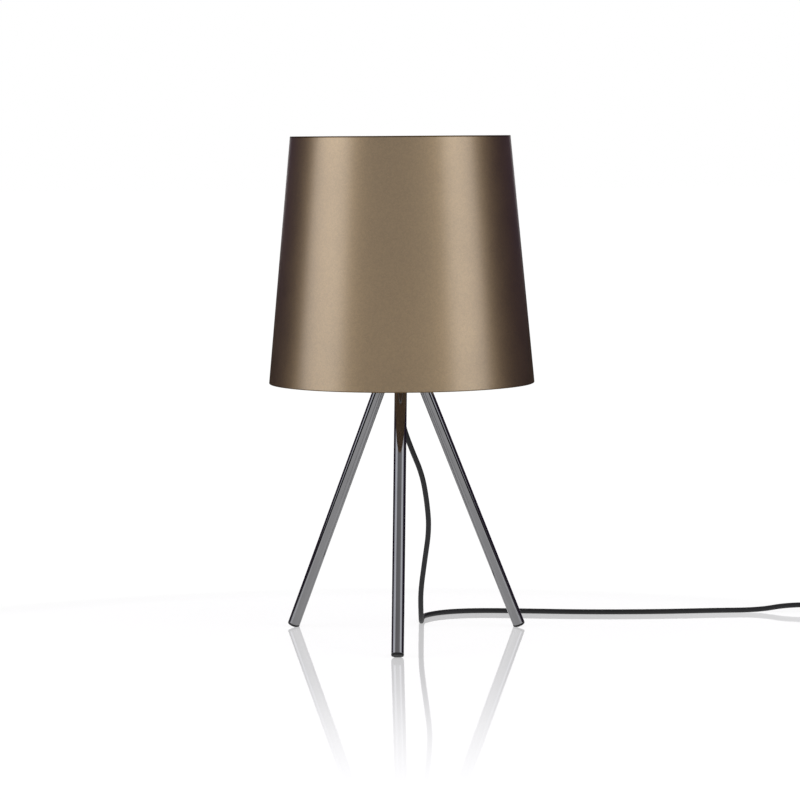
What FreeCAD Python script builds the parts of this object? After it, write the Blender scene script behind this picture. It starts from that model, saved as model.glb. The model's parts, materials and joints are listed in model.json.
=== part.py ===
"""Tripod table lamp: three splayed tube legs, a tapered metal shade and a mains lead.

Millimetres, +Z up, the origin on the floor below the middle of the lamp.  The front leg
points along -Y.  Every piece is a solid in a node of its own, and the nodes are written
to parts/NODE.step.
"""

import FreeCAD
import Part

import math
import os

from FreeCAD import Placement, Rotation, Vector

# ---- fits ---------------------------------------------------------------------------
FIT = 0.1            # radial play of a part pushed or screwed into another
SEAT = 0.1           # play between two faces that are clamped together
UP = Vector(0, 0, 1)

# ---- legs and feet ------------------------------------------------------------------
LEG_AZIMUTHS = {"front": -90.0, "right": 30.0, "left": 150.0}
LEG_DIA = 14.0
LEG_WALL = 1.5
LEG_LENGTH = 331.5
LEG_TILT = 23.5      # degrees from the vertical
SOCKET_DEPTH = 18.0  # leg inside the hub, along the leg
SOCKET_INNER_WALL = 5.5  # hub between a socket's top and the bore
TIP_THICKNESS = 2.5
TIP_ROUND = 1.2
TIP_FLAT = 0.4       # depth of the flat that the tip stands on
TIP_STEM_LENGTH = 12.0
LEG_PLUG_LENGTH = 22.0
GRUB_DIA = 4.0
GRUB_LENGTH = 8.0
GRUB_KEY_RADIUS = 1.1
GRUB_KEY_DEPTH = 2.2
GRUB_FROM_LEG_TOP = 10.0

# ---- hub and threaded tube ----------------------------------------------------------
HUB_RIM = 4.7          # hub outside a socket's mouth
HUB_THICKNESS = 24.0
HUB_SHOULDER = 14.0    # height of the hub's upright rim
HUB_TOP_RADIUS = 22.0
HUB_CHAMFER = 2.0
NIPPLE_DIA = 10.0
NIPPLE_BORE = 7.6
NUT_ACROSS_FLATS = 17.0
NUT_HEIGHT = 5.0
WASHER_RADIUS = 10.5
WASHER_THICKNESS = 1.0
GLAND_RADIUS = 8.5
GLAND_HEIGHT = 12.0
GLAND_LIP = 3.0        # height of the gland's lower lip that holds the strain relief
RELIEF_HEAD_RADIUS = 6.8
RELIEF_TOP_RADIUS = 5.0
RELIEF_END_RADIUS = 3.9
RELIEF_LENGTH = 24.0   # tapered length below the gland

# ---- lampholder ---------------------------------------------------------------------
CAP_NECK_RADIUS = 8.5
CAP_NECK_HEIGHT = 6.0
CAP_HEIGHT = 20.0
CAP_WALL = 2.0
SLEEVE_RADIUS = 19.5
SLEEVE_WALL = 2.5
SLEEVE_HEIGHT = 32.0
INSERT_HEIGHT = 8.0
SHELL_BORE_RADIUS = 13.4
SHELL_WALL = 1.0
SHELL_HEIGHT = 22.0
THREAD_DEPTH = 0.5
THREAD_PITCH = 3.63
CONTACT_RADIUS = 4.0
CONTACT_THICKNESS = 1.2
TERMINAL_OFFSET = 9.0
TERMINAL_HEAD_RADIUS = 2.8
TERMINAL_HEAD_HEIGHT = 2.0
TERMINAL_SHANK_RADIUS = 1.5
TERMINAL_SHANK_LENGTH = 5.0
SIDE_STRIP_WIDTH = 5.0
SIDE_STRIP_THICKNESS = 0.8
SIDE_STRIP_HEIGHT = 9.0
RING_NUT_RADIUS = 26.0
RING_NUT_HEIGHT = 6.0
RING_NUT_GROOVE_COUNT = 12
RING_NUT_GROOVE_RADIUS = 1.2
RING_NUT_OFFSET = 10.0  # sleeve's lower end to the lower ring nut
WIRE_RADIUS = 0.9
WIRE_SPACING = 3.2
SHEATH_INTO_CAP = 7.0   # cord sheath above the threaded tube

# ---- shade and its carrier ----------------------------------------------------------
SHADE_BOTTOM_DIA = 300.0
SHADE_TOP_DIA = 248.0
SHADE_HEIGHT = 278.0
SHADE_WALL = 0.8
SHADE_DROP = 69.6       # middle of the carrier ring to the shade's lower edge
CARRIER_RING_RADIUS = 27.0
CARRIER_RING_THICKNESS = 3.0
SPOKE_DIA = 4.0
SPOKE_AZIMUTHS = (90.0, 210.0, 330.0)
HOOP_DIA = 4.0

# ---- bulb ---------------------------------------------------------------------------
BULB_CAP_RADIUS = 13.05
BULB_CAP_WALL = 0.7
BULB_TIP_HEIGHT = 2.0
BULB_TIP_RADIUS = 4.5
BULB_INSULATOR_HEIGHT = 4.0
BULB_INSULATOR_FOOT = 6.0
BULB_CAP_HEIGHT = 20.0
BULB_NECK_RADIUS = 12.1
BULB_GLOBE_RADIUS = 30.0
BULB_LENGTH = 105.0
BULB_GLASS = 0.8
BULB_NECK_ANGLE = 40.0  # degrees below the globe's equator where the neck begins
FILAMENT_RADIUS = 0.8
FILAMENT_CIRCLE = 6.0
FILAMENT_LENGTH = 34.0
STEM_DISC_RADIUS = 7.5

# ---- mains lead ---------------------------------------------------------------------
CORD_DIA = 6.0
FLOOR_Z = CORD_DIA / 2
SWITCH_X = 535.0        # middle of the in-line switch
SWITCH_Y = 187.0
SWITCH_LENGTH = 70.0
SWITCH_WIDTH = 28.0
SWITCH_HEIGHT = 22.0
SWITCH_SPLIT = 9.0      # height of the joint between base and cover, and of the cord's axis
SWITCH_WALL = 2.2
SWITCH_ROUND = 4.0
SWITCH_SCREW_X = 24.0
SWITCH_SCREW_RADIUS = 1.5
SWITCH_SCREW_HEAD = 2.7
SWITCH_SCREW_HEAD_HEIGHT = 2.0
SWITCH_SCREW_LENGTH = 16.0
BOSS_RADIUS = 4.0
BOSS_INTO_WALL = 0.5
BOOT_LENGTH = 24.0
BOOT_ROOT_RADIUS = 5.2
BOOT_END_RADIUS = 3.9
BOOT_NECK_RADIUS = 4.2
BOOT_FLANGE_RADIUS = 6.0
BOOT_FLANGE_LENGTH = 2.0
ROCKER_RADIUS = 10.2    # pivot to the rocker's round ends
ROCKER_WIDTH = 12.0
ROCKER_PIVOT_Z = 16.0
ROCKER_RISE = 5.0       # pivot to the middle of the rocker's top
ROCKER_DEPTH = 3.0      # pivot to the rocker's underside
ROCKER_ANGLE = 8.0      # degrees either side of level
ROCKER_GAP = 0.4
ROCKER_PIN_RADIUS = 1.25
RIB_THICKNESS = 2.5
TERMINAL_BLOCK = (9.0, 6.0, 6.0)

PLUG_LENGTH = 36.0
PLUG_FACE_WIDTH = 35.0
PLUG_FACE_LENGTH = 13.0
PLUG_REAR_WIDTH = 14.0
PLUG_THICKNESS = 13.7
PLUG_ROUND = 2.5
PIN_DIA = 4.0
PIN_LENGTH = 19.0
PIN_SPACING = 18.6
PIN_ROOT = 8.0          # root inside the plug's body
PIN_ROOT_DIA = 3.0
PIN_ROUND = 1.5

COIL_X = 540.0
COIL_Y = 58.0
COIL_OUTER = 37.5       # radius of the turns' middle line where the coil starts
COIL_PITCH = 6.6
COIL_LAYER_TURNS = 1.375
COIL_LAYER_STEP = 6.6
COIL_START_ANGLE = 90.0
TAIL_LEVEL = 21.0       # the tail's runs from the coil to the plug's boot, along Y
TAIL_FALL = 28.0
TAIL_END = 21.5
PLUG_ASIDE = 3.0        # the plug's step across from the coil's last turn
TIE_THICKNESS = 0.5
TIE_WIDTH = 10.0
TIE_GAP = 0.3
TIE_ANGLE = 0.0

# ---- derived places -----------------------------------------------------------------
LEG_RADIUS = LEG_DIA / 2
TILT = math.radians(LEG_TILT)
SOCKET_REACH = (LEG_RADIUS + FIT) / math.cos(TILT)
FOOT_Z = ((LEG_RADIUS - TIP_ROUND) * math.sin(TILT)
          + TIP_ROUND * (1 - math.cos(TILT)) - TIP_FLAT)
LEG_TOP = TIP_THICKNESS + LEG_LENGTH
LEG_TOP_CIRCLE = NIPPLE_DIA / 2 + FIT + SOCKET_INNER_WALL + SOCKET_REACH
FOOT_RADIUS = LEG_TOP_CIRCLE + LEG_TOP * math.sin(TILT)
HUB_RADIUS = LEG_TOP_CIRCLE + SOCKET_DEPTH * math.sin(TILT) + SOCKET_REACH + HUB_RIM
HUB_Z = FOOT_Z + (LEG_TOP - SOCKET_DEPTH) * math.cos(TILT)
HUB_TOP = HUB_Z + HUB_THICKNESS
NUT_Z = HUB_TOP + WASHER_THICKNESS + SEAT
CAP_Z = NUT_Z + NUT_HEIGHT + SEAT
NIPPLE_TOP = CAP_Z + CAP_NECK_HEIGHT - SEAT
GLAND_Z = HUB_Z - GLAND_HEIGHT - SEAT
RELIEF_Z = GLAND_Z - RELIEF_LENGTH
SHEATH_TOP = NIPPLE_TOP + SHEATH_INTO_CAP
SLEEVE_Z = CAP_Z + CAP_HEIGHT + SEAT
INSERT_Z = SLEEVE_Z + SEAT
SHELL_Z = INSERT_Z + INSERT_HEIGHT + SEAT
RING_NUT_Z = SLEEVE_Z + RING_NUT_OFFSET
CARRIER_Z = RING_NUT_Z + RING_NUT_HEIGHT + SEAT + CARRIER_RING_THICKNESS / 2
UPPER_NUT_Z = CARRIER_Z + CARRIER_RING_THICKNESS / 2 + SEAT
SHADE_Z = CARRIER_Z - SHADE_DROP
BULB_Z = INSERT_Z + INSERT_HEIGHT + SEAT + CONTACT_THICKNESS + SEAT
BULB_CAP_Z = BULB_Z + BULB_TIP_HEIGHT + BULB_INSULATOR_HEIGHT
GLOBE_Z = BULB_Z + BULB_LENGTH - BULB_GLOBE_RADIUS
CORD_RADIUS = CORD_DIA / 2
SWITCH_END = SWITCH_X + SWITCH_LENGTH / 2
SWITCH_START = SWITCH_X - SWITCH_LENGTH / 2
SWITCH_BOSS_Y = SWITCH_WIDTH / 2 - SWITCH_WALL - BOSS_RADIUS + BOSS_INTO_WALL
PLUG_Z = PLUG_THICKNESS / 2
COIL_Z = FLOOR_Z + TIE_THICKNESS + 0.1
COIL_TOP = COIL_Z + COIL_LAYER_STEP

# ---- the lead's route, chosen by hand -----------------------------------------------
LEAD_ROUTE = [
    Vector(0, 0, RELIEF_Z),
    Vector(0.3, 0.4, 243),
    Vector(9.8, 4.4, 215),
    Vector(21.9, 15, 184),
    Vector(26.9, 27.2, 150),
    Vector(28.7, 38.3, 118),
    Vector(22.8, 51, 80),
    Vector(17.6, 59.4, 43.4),
    Vector(17.5, 67.8, 17.7),
    Vector(17.2, 87.8, FLOOR_Z),
    Vector(16.4, 112.8, FLOOR_Z),
    Vector(17.9, 142, FLOOR_Z),
    Vector(40.7, 170, FLOOR_Z),
    Vector(78, 181.6, FLOOR_Z),
    Vector(132.4, 178, FLOOR_Z),
    Vector(208, 169.2, FLOOR_Z),
    Vector(290, 171, FLOOR_Z),
    Vector(364, 182, FLOOR_Z),
    Vector(416, 186.4, FLOOR_Z),
    Vector(450, SWITCH_Y, SWITCH_SPLIT),
    Vector(SWITCH_START - BOOT_LENGTH, SWITCH_Y, SWITCH_SPLIT),
]
LOOP_ROUTE = [
    Vector(SWITCH_END + BOOT_LENGTH, SWITCH_Y, SWITCH_SPLIT),
    Vector(618, SWITCH_Y, SWITCH_SPLIT),
    Vector(645, 169.4, FLOOR_Z),
    Vector(654, 141, FLOOR_Z),
    Vector(645.5, 113, FLOOR_Z),
    Vector(621, 96.8, FLOOR_Z),
    Vector(584, COIL_Y + COIL_OUTER, COIL_Z),
    Vector(COIL_X + CORD_DIA, COIL_Y + COIL_OUTER, COIL_Z),
]


# ---- plain shapes -------------------------------------------------------------------
def turned(outline):
    """Revolves a closed outline of (radius, z) points about the lamp's axis.

    An item that holds two points is an arc: through the first, ending at the second.
    """
    edges = []
    last = Vector(outline[0][0], 0, outline[0][1])
    first = last
    for item in outline[1:] + [outline[0]]:
        if isinstance(item[0], tuple):
            middle = Vector(item[0][0], 0, item[0][1])
            end = Vector(item[1][0], 0, item[1][1])
            edges.append(Part.Arc(last, middle, end).toShape())
        else:
            end = Vector(item[0], 0, item[1])
            if end.distanceToPoint(last) < 1e-6:
                continue
            edges.append(Part.LineSegment(last, end).toShape())
        last = end
    assert last.distanceToPoint(first) < 1e-6
    return Part.Face(Part.Wire(edges)).revolve(Vector(), UP, 360)


def disc(radius, bottom, top):
    """A solid cylinder on the lamp's axis."""
    return Part.makeCylinder(radius, top - bottom, Vector(0, 0, bottom))


def ring(outer, inner, bottom, top):
    """A tube on the lamp's axis."""
    return disc(outer, bottom, top).cut(disc(inner, bottom, top))


def rounded_box(length, width, bottom, top, radius):
    """A box centred on the axis with its upright corners rounded."""
    box = Part.makeBox(length, width, top - bottom, Vector(-length / 2, -width / 2, bottom))
    upright = [e for e in box.Edges if abs(e.tangentAt(e.FirstParameter).z) > 0.99]
    return box.makeFillet(radius, upright)


def thread_outline(radius, depth, bottom, top, pitch):
    """Points (radius, z) up a threaded wall: a vee groove for each turn that fits."""
    turns = int((top - bottom) / pitch)
    margin = (top - bottom - turns * pitch) / 2
    points = [(radius, bottom)]
    for turn in range(turns):
        start = bottom + margin + turn * pitch
        points.append((radius, start + 0.1 * pitch))
        points.append((radius + depth, start + 0.5 * pitch))
        points.append((radius, start + 0.9 * pitch))
    points.append((radius, top))
    return points


def screw(head_radius, head_height, shank_radius, length, slot=0.0):
    """A screw that points up: its head below z = 0, with a cross slot, its shank above."""
    body = disc(head_radius, -head_height, 0).fuse(disc(shank_radius, 0, length))
    if slot:
        bar = Part.makeBox(2 * head_radius, slot, head_height / 2,
                           Vector(-head_radius, -slot / 2, -head_height))
        body = body.cut(bar)
    return body.removeSplitter()


# ---- legs ---------------------------------------------------------------------------
def on_leg(azimuth):
    """Placement of a leg's own frame: z runs up the leg from its foot, x faces outwards."""
    turn = Rotation(UP, azimuth) * Rotation(Vector(0, 1, 0), -LEG_TILT)
    foot = Vector(FOOT_RADIUS, 0, FOOT_Z)
    return Placement(Rotation(UP, azimuth).multVec(foot), turn)


def placed(shape, placement):
    """A copy of a shape, moved."""
    copy = shape.copy()
    copy.Placement = placement.multiply(copy.Placement)
    return copy


def leg_tube():
    """One leg, cut square at both ends, in its own frame."""
    return ring(LEG_RADIUS, LEG_RADIUS - LEG_WALL, TIP_THICKNESS, LEG_TOP)


def foot_tip(azimuth):
    """Rubber tip: a rounded button under the tube, a stem inside it and a flat to stand on."""
    stem = LEG_RADIUS - LEG_WALL - FIT
    top = TIP_THICKNESS - SEAT
    corner = TIP_ROUND * (1 - math.sqrt(0.5))
    tip = turned([
        (0, 0), (LEG_RADIUS - TIP_ROUND, 0),
        ((LEG_RADIUS - corner, corner), (LEG_RADIUS, TIP_ROUND)),
        (LEG_RADIUS, top), (stem, top),
        (stem, TIP_THICKNESS + TIP_STEM_LENGTH - 1), (stem - 1, TIP_THICKNESS + TIP_STEM_LENGTH),
        (0, TIP_THICKNESS + TIP_STEM_LENGTH),
    ])
    tip = placed(tip, on_leg(azimuth))
    reach = 2 * (FOOT_RADIUS + LEG_DIA)
    return tip.cut(Part.makeBox(reach, reach, LEG_DIA, Vector(-reach / 2, -reach / 2, -LEG_DIA)))


def leg_plug():
    """Turned plug inside a leg's top, which the grub screw bears against, in the leg's frame."""
    radius = LEG_RADIUS - LEG_WALL - FIT
    bottom = LEG_TOP - LEG_PLUG_LENGTH
    return turned([
        (0, bottom), (radius - 1, bottom), (radius, bottom + 1), (radius, LEG_TOP - 0.5),
        (radius - 0.5, LEG_TOP), (0, LEG_TOP),
    ])


def grub_screw():
    """Grub screw with a key socket, square to the leg, in the leg's frame."""
    body = disc(GRUB_DIA / 2, 0, GRUB_LENGTH)
    body = body.cut(disc(GRUB_KEY_RADIUS, GRUB_LENGTH - GRUB_KEY_DEPTH, GRUB_LENGTH))
    return placed(body, grub_axis(LEG_RADIUS + SEAT))


def grub_axis(distance):
    """Placement of a grub screw's frame that far from the leg's middle line."""
    return Placement(Vector(distance, 0, LEG_TOP - GRUB_FROM_LEG_TOP),
                     Rotation(Vector(0, 1, 0), 90))


# ---- hub ----------------------------------------------------------------------------
def hub():
    """Turned hub with three slanted leg sockets, their grub screw holes and a bore."""
    body = turned([
        (NIPPLE_DIA / 2 + FIT, HUB_Z), (HUB_RADIUS - HUB_CHAMFER, HUB_Z),
        (HUB_RADIUS, HUB_Z + HUB_CHAMFER), (HUB_RADIUS, HUB_Z + HUB_SHOULDER),
        (HUB_TOP_RADIUS, HUB_TOP), (NIPPLE_DIA / 2 + FIT, HUB_TOP),
    ])
    socket = disc(LEG_RADIUS + FIT, LEG_TOP - 3 * SOCKET_DEPTH, LEG_TOP + SEAT)
    grub_hole = placed(disc(GRUB_DIA / 2 + FIT / 2, 0, HUB_RADIUS), grub_axis(LEG_RADIUS))
    for azimuth in LEG_AZIMUTHS.values():
        body = body.cut(placed(socket, on_leg(azimuth)))
        body = body.cut(placed(grub_hole, on_leg(azimuth)))
    return body


def nipple():
    """Threaded tube that clamps gland, hub, nut and lampholder cap together."""
    bottom = GLAND_Z + GLAND_LIP + SEAT + 2.0
    return ring(NIPPLE_DIA / 2, NIPPLE_BORE / 2, bottom, NIPPLE_TOP)


def hub_nut():
    """Hexagon nut on the threaded tube."""
    corner = NUT_ACROSS_FLATS / math.sqrt(3)
    points = [Vector(corner * math.cos(math.radians(60 * i)),
                     corner * math.sin(math.radians(60 * i)), NUT_Z) for i in range(7)]
    body = Part.Face(Part.makePolygon(points)).extrude(Vector(0, 0, NUT_HEIGHT))
    cone = turned([
        (0, NUT_Z), (NUT_ACROSS_FLATS / 2 + 0.6, NUT_Z), (corner, NUT_Z + 0.8),
        (corner, NUT_Z + NUT_HEIGHT - 0.8), (NUT_ACROSS_FLATS / 2 + 0.6, NUT_Z + NUT_HEIGHT),
        (0, NUT_Z + NUT_HEIGHT),
    ])
    return body.common(cone).cut(disc(NIPPLE_DIA / 2 + FIT, NUT_Z, NUT_Z + NUT_HEIGHT))


def washer():
    """Flat washer between hub and nut."""
    return ring(WASHER_RADIUS, NIPPLE_DIA / 2 + FIT, HUB_TOP + SEAT / 2,
                HUB_TOP + SEAT / 2 + WASHER_THICKNESS)


def cord_gland():
    """Knurl-less collar below the hub that traps the strain relief's head."""
    lip = GLAND_Z + GLAND_LIP
    return turned([
        (RELIEF_TOP_RADIUS + FIT, GLAND_Z), (GLAND_RADIUS - 1, GLAND_Z),
        (GLAND_RADIUS, GLAND_Z + 1), (GLAND_RADIUS, GLAND_Z + GLAND_HEIGHT),
        (NIPPLE_DIA / 2 + FIT, GLAND_Z + GLAND_HEIGHT), (NIPPLE_DIA / 2 + FIT, lip + 2 + FIT),
        (RELIEF_HEAD_RADIUS + FIT, lip + 2 + FIT), (RELIEF_HEAD_RADIUS + FIT, lip),
        (RELIEF_TOP_RADIUS + FIT, lip),
    ])


def strain_relief():
    """Soft sleeve that tapers down the cord, with a head held by the gland."""
    head = GLAND_Z + GLAND_LIP + SEAT
    bore = CORD_RADIUS + FIT / 2
    return turned([
        (bore, RELIEF_Z), (RELIEF_END_RADIUS, RELIEF_Z), (RELIEF_TOP_RADIUS, GLAND_Z),
        (RELIEF_TOP_RADIUS, head), (RELIEF_HEAD_RADIUS, head), (RELIEF_HEAD_RADIUS, head + 1.9),
        (bore, head + 1.9),
    ])


def cord_inner():
    """The lead's sheath inside strain relief and threaded tube."""
    return disc(CORD_RADIUS, RELIEF_Z, SHEATH_TOP)


def wire(side):
    """One insulated wire from the sheath to its terminal screw."""
    near = side * WIRE_SPACING / 2
    far = side * TERMINAL_OFFSET
    screw_z = INSERT_Z - SEAT - TERMINAL_HEAD_HEIGHT
    route = [Vector(near, 0, SHEATH_TOP + SEAT), Vector(near, 0, SHEATH_TOP + 2.2),
             Vector((near + far) / 2, 0, SHEATH_TOP + 2.9), Vector(far, 0, SHEATH_TOP + 3.4),
             Vector(far, 0, screw_z - SEAT)]
    return tube(route, WIRE_RADIUS)


# ---- lampholder ---------------------------------------------------------------------
def holder_cap():
    """Lower half of the lampholder, screwed on the threaded tube."""
    neck = CAP_Z + CAP_NECK_HEIGHT
    flare = CAP_Z + CAP_HEIGHT / 2
    top = CAP_Z + CAP_HEIGHT
    return turned([
        (NIPPLE_DIA / 2 + FIT, CAP_Z), (CAP_NECK_RADIUS, CAP_Z), (CAP_NECK_RADIUS, neck - 2),
        (SLEEVE_RADIUS, flare), (SLEEVE_RADIUS, top), (SLEEVE_RADIUS - CAP_WALL, top),
        (SLEEVE_RADIUS - CAP_WALL, flare + 1), (CAP_NECK_RADIUS, neck),
        (NIPPLE_DIA / 2 + FIT, neck),
    ])


def holder_sleeve():
    """Upper half of the lampholder, threaded outside for the ring nuts."""
    inner = SLEEVE_RADIUS - SLEEVE_WALL
    top = SLEEVE_Z + SLEEVE_HEIGHT
    outside = thread_outline(SLEEVE_RADIUS, -THREAD_DEPTH, SLEEVE_Z + 2, top - 1, 2.0)
    return turned([(inner, SLEEVE_Z), (SLEEVE_RADIUS, SLEEVE_Z)] + outside
                  + [(SLEEVE_RADIUS - 1, top), (inner, top)])


def holder_insert():
    """Ceramic base inside the lampholder, with holes for the terminal screws."""
    body = disc(SLEEVE_RADIUS - SLEEVE_WALL - FIT, INSERT_Z, INSERT_Z + INSERT_HEIGHT)
    hole = disc(TERMINAL_SHANK_RADIUS + FIT / 2, INSERT_Z, INSERT_Z + TERMINAL_SHANK_LENGTH + SEAT)
    for side in (-1, 1):
        body = body.cut(hole.translated(Vector(side * TERMINAL_OFFSET, 0, 0)))
    strip = side_strip_box(FIT).translated(Vector(0, 0, -SEAT))
    return body.cut(strip)


def side_strip_box(play):
    """Block that the side strip fills, larger by the play on each upright side."""
    thickness = SIDE_STRIP_THICKNESS + 2 * play
    width = SIDE_STRIP_WIDTH + 2 * play
    x = SHELL_BORE_RADIUS + SHELL_WALL + THREAD_DEPTH + FIT
    bottom = SHELL_Z - SIDE_STRIP_HEIGHT / 3
    return Part.makeBox(thickness, width, SIDE_STRIP_HEIGHT, Vector(x - play, -width / 2, bottom))


def side_strip():
    """Brass strip that feeds the screw shell from the ceramic base."""
    return side_strip_box(0)


def screw_shell():
    """Threaded brass shell that takes the bulb's cap."""
    top = SHELL_Z + SHELL_HEIGHT
    outer = SHELL_BORE_RADIUS + SHELL_WALL + THREAD_DEPTH
    inside = thread_outline(SHELL_BORE_RADIUS, THREAD_DEPTH, SHELL_Z, top, THREAD_PITCH)
    return turned([(outer, SHELL_Z), (outer, top)] + inside[::-1])


def centre_contact():
    """Spring contact in the middle of the lampholder."""
    bottom = INSERT_Z + INSERT_HEIGHT + SEAT / 2
    return turned([
        (0, bottom), (CONTACT_RADIUS, bottom), (CONTACT_RADIUS, bottom + CONTACT_THICKNESS / 2),
        (CONTACT_RADIUS - 1, bottom + CONTACT_THICKNESS), (0, bottom + CONTACT_THICKNESS),
    ])


def terminal_screws():
    """Two screws under the ceramic base that hold the wires."""
    one = screw(TERMINAL_HEAD_RADIUS, TERMINAL_HEAD_HEIGHT, TERMINAL_SHANK_RADIUS,
                TERMINAL_SHANK_LENGTH, 0.8)
    return [one.translated(Vector(side * TERMINAL_OFFSET, 0, INSERT_Z - SEAT)) for side in (-1, 1)]


def ring_nut(bottom):
    """Grooved ring nut on the lampholder's outer thread."""
    body = turned([
        (SLEEVE_RADIUS + FIT, bottom), (RING_NUT_RADIUS - 1, bottom),
        (RING_NUT_RADIUS, bottom + 1), (RING_NUT_RADIUS, bottom + RING_NUT_HEIGHT - 1),
        (RING_NUT_RADIUS - 1, bottom + RING_NUT_HEIGHT),
        (SLEEVE_RADIUS + FIT, bottom + RING_NUT_HEIGHT),
    ])
    groove = Part.makeCylinder(RING_NUT_GROOVE_RADIUS, RING_NUT_HEIGHT,
                               Vector(RING_NUT_RADIUS + RING_NUT_GROOVE_RADIUS / 3, 0, bottom))
    for index in range(RING_NUT_GROOVE_COUNT):
        turn = Rotation(UP, 360 * index / RING_NUT_GROOVE_COUNT)
        body = body.cut(placed(groove, Placement(Vector(), turn)))
    return body


# ---- shade --------------------------------------------------------------------------
def shade_radius(z):
    """Outer radius of the shade at a height."""
    share = (z - SHADE_Z) / SHADE_HEIGHT
    return (SHADE_BOTTOM_DIA + (SHADE_TOP_DIA - SHADE_BOTTOM_DIA) * share) / 2


def shade():
    """Spun metal shade, open at both ends, with softened edges."""
    top = SHADE_Z + SHADE_HEIGHT
    low, high = SHADE_BOTTOM_DIA / 2, SHADE_TOP_DIA / 2
    slant = math.atan((low - high) / SHADE_HEIGHT)
    wall = SHADE_WALL / math.cos(slant)
    soft = SHADE_WALL / 4
    return turned([
        (low - wall + soft, SHADE_Z), (low - soft, SHADE_Z), (shade_radius(SHADE_Z + soft), SHADE_Z + soft),
        (shade_radius(top - soft), top - soft), (high - soft, top), (high - wall + soft, top),
        (shade_radius(top - soft) - wall, top - soft),
        (shade_radius(SHADE_Z + soft) - wall, SHADE_Z + soft),
    ])


def hoop_radius():
    """Middle-line radius of the hoop that is bonded inside the shade."""
    slant = math.atan((SHADE_BOTTOM_DIA - SHADE_TOP_DIA) / 2 / SHADE_HEIGHT)
    reach = (SHADE_WALL + HOOP_DIA / 2 + FIT) / math.cos(slant)
    return shade_radius(CARRIER_Z) - reach


def shade_hoop():
    """Round wire hoop inside the shade."""
    return Part.makeTorus(hoop_radius(), HOOP_DIA / 2, Vector(0, 0, CARRIER_Z), UP)


def carrier_ring():
    """Flat ring that the ring nuts clamp."""
    half = CARRIER_RING_THICKNESS / 2
    return ring(CARRIER_RING_RADIUS, SLEEVE_RADIUS + 2 * FIT, CARRIER_Z - half, CARRIER_Z + half)


def shade_spokes():
    """Round spokes from the carrier ring to the hoop, cut to both."""
    reach = hoop_radius()
    rod = Part.makeCylinder(SPOKE_DIA / 2, reach, Vector(0, 0, CARRIER_Z), Vector(1, 0, 0))
    rod = rod.cut(disc(CARRIER_RING_RADIUS + SEAT, CARRIER_Z - SPOKE_DIA, CARRIER_Z + SPOKE_DIA))
    hoop = Part.makeTorus(reach, HOOP_DIA / 2 + SEAT, Vector(0, 0, CARRIER_Z), UP)
    rod = max(rod.cut(hoop).Solids, key=lambda solid: solid.Volume)
    return [placed(rod, Placement(Vector(), Rotation(UP, a))) for a in SPOKE_AZIMUTHS]


# ---- bulb ---------------------------------------------------------------------------
def bulb_contact():
    """Solder tip at the bulb's foot."""
    return turned([
        (0, BULB_Z), (BULB_TIP_RADIUS - 2, BULB_Z), (BULB_TIP_RADIUS, BULB_Z + 1),
        (BULB_TIP_RADIUS, BULB_Z + BULB_TIP_HEIGHT), (0, BULB_Z + BULB_TIP_HEIGHT),
    ])


def bulb_insulator():
    """Dark glass cone between solder tip and screw cap."""
    bottom = BULB_Z + BULB_TIP_HEIGHT + SEAT / 2
    top = BULB_CAP_Z - SEAT / 2
    return turned([
        (0, bottom), (BULB_INSULATOR_FOOT, bottom),
        (BULB_CAP_RADIUS - THREAD_DEPTH - 1, top), (0, top),
    ])


def bulb_cap():
    """Screw cap with its rolled thread."""
    top = BULB_CAP_Z + BULB_CAP_HEIGHT
    outside = thread_outline(BULB_CAP_RADIUS, -THREAD_DEPTH, BULB_CAP_Z + 1, top, THREAD_PITCH)
    inner = BULB_CAP_RADIUS - THREAD_DEPTH - BULB_CAP_WALL
    return turned([(0, BULB_CAP_Z), (BULB_CAP_RADIUS - 1, BULB_CAP_Z)] + outside
                  + [(inner, top), (inner, BULB_CAP_Z + BULB_CAP_WALL), (0, BULB_CAP_Z + BULB_CAP_WALL)])


def bulb_form(inset):
    """The glass bulb's outer form, or its inner form when inset by the glass."""
    neck = BULB_CAP_RADIUS - THREAD_DEPTH - BULB_CAP_WALL - FIT - inset
    shoulder = BULB_NECK_RADIUS - inset
    bottom = BULB_CAP_Z + BULB_CAP_HEIGHT / 2 + inset
    rim = BULB_CAP_Z + BULB_CAP_HEIGHT + SEAT + inset
    radius = BULB_GLOBE_RADIUS - inset
    angle = math.radians(BULB_NECK_ANGLE)
    start = (radius * math.cos(angle), GLOBE_Z - radius * math.sin(angle))
    waist = (shoulder + 0.36 * (start[0] - shoulder), rim + 0.52 * (start[1] - rim))
    half = (math.pi / 2 - angle) / 2
    side = (radius * math.cos(half), GLOBE_Z + radius * math.sin(half))
    return turned([
        (0, bottom), (neck, bottom), (neck, rim), (shoulder, rim + 0.2),
        (waist, start), (side, (0, GLOBE_Z + radius)),
    ])


def bulb_globe():
    """Hollow glass bulb."""
    return bulb_form(0).cut(bulb_form(BULB_GLASS))


def bulb_stem():
    """Glass stem with the two discs that hold the filaments."""
    bottom = BULB_CAP_Z + BULB_CAP_HEIGHT / 2 + BULB_GLASS + SEAT
    low = stem_disc_z()
    high = low + FILAMENT_LENGTH + 2 * SEAT
    flare = BULB_CAP_RADIUS - THREAD_DEPTH - BULB_CAP_WALL - BULB_GLASS - 4 * FIT
    return turned([
        (0, bottom), (flare, bottom), (flare, bottom + 1.5), (4, bottom + 8), (4, low - 3),
        (STEM_DISC_RADIUS, low - 1), (STEM_DISC_RADIUS, low), (1.5, low), (1.5, high),
        (STEM_DISC_RADIUS, high), (STEM_DISC_RADIUS, high + 1), (0, high + 2.5),
    ])


def stem_disc_z():
    """Top of the stem's lower disc."""
    return GLOBE_Z - FILAMENT_LENGTH * 0.6


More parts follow.
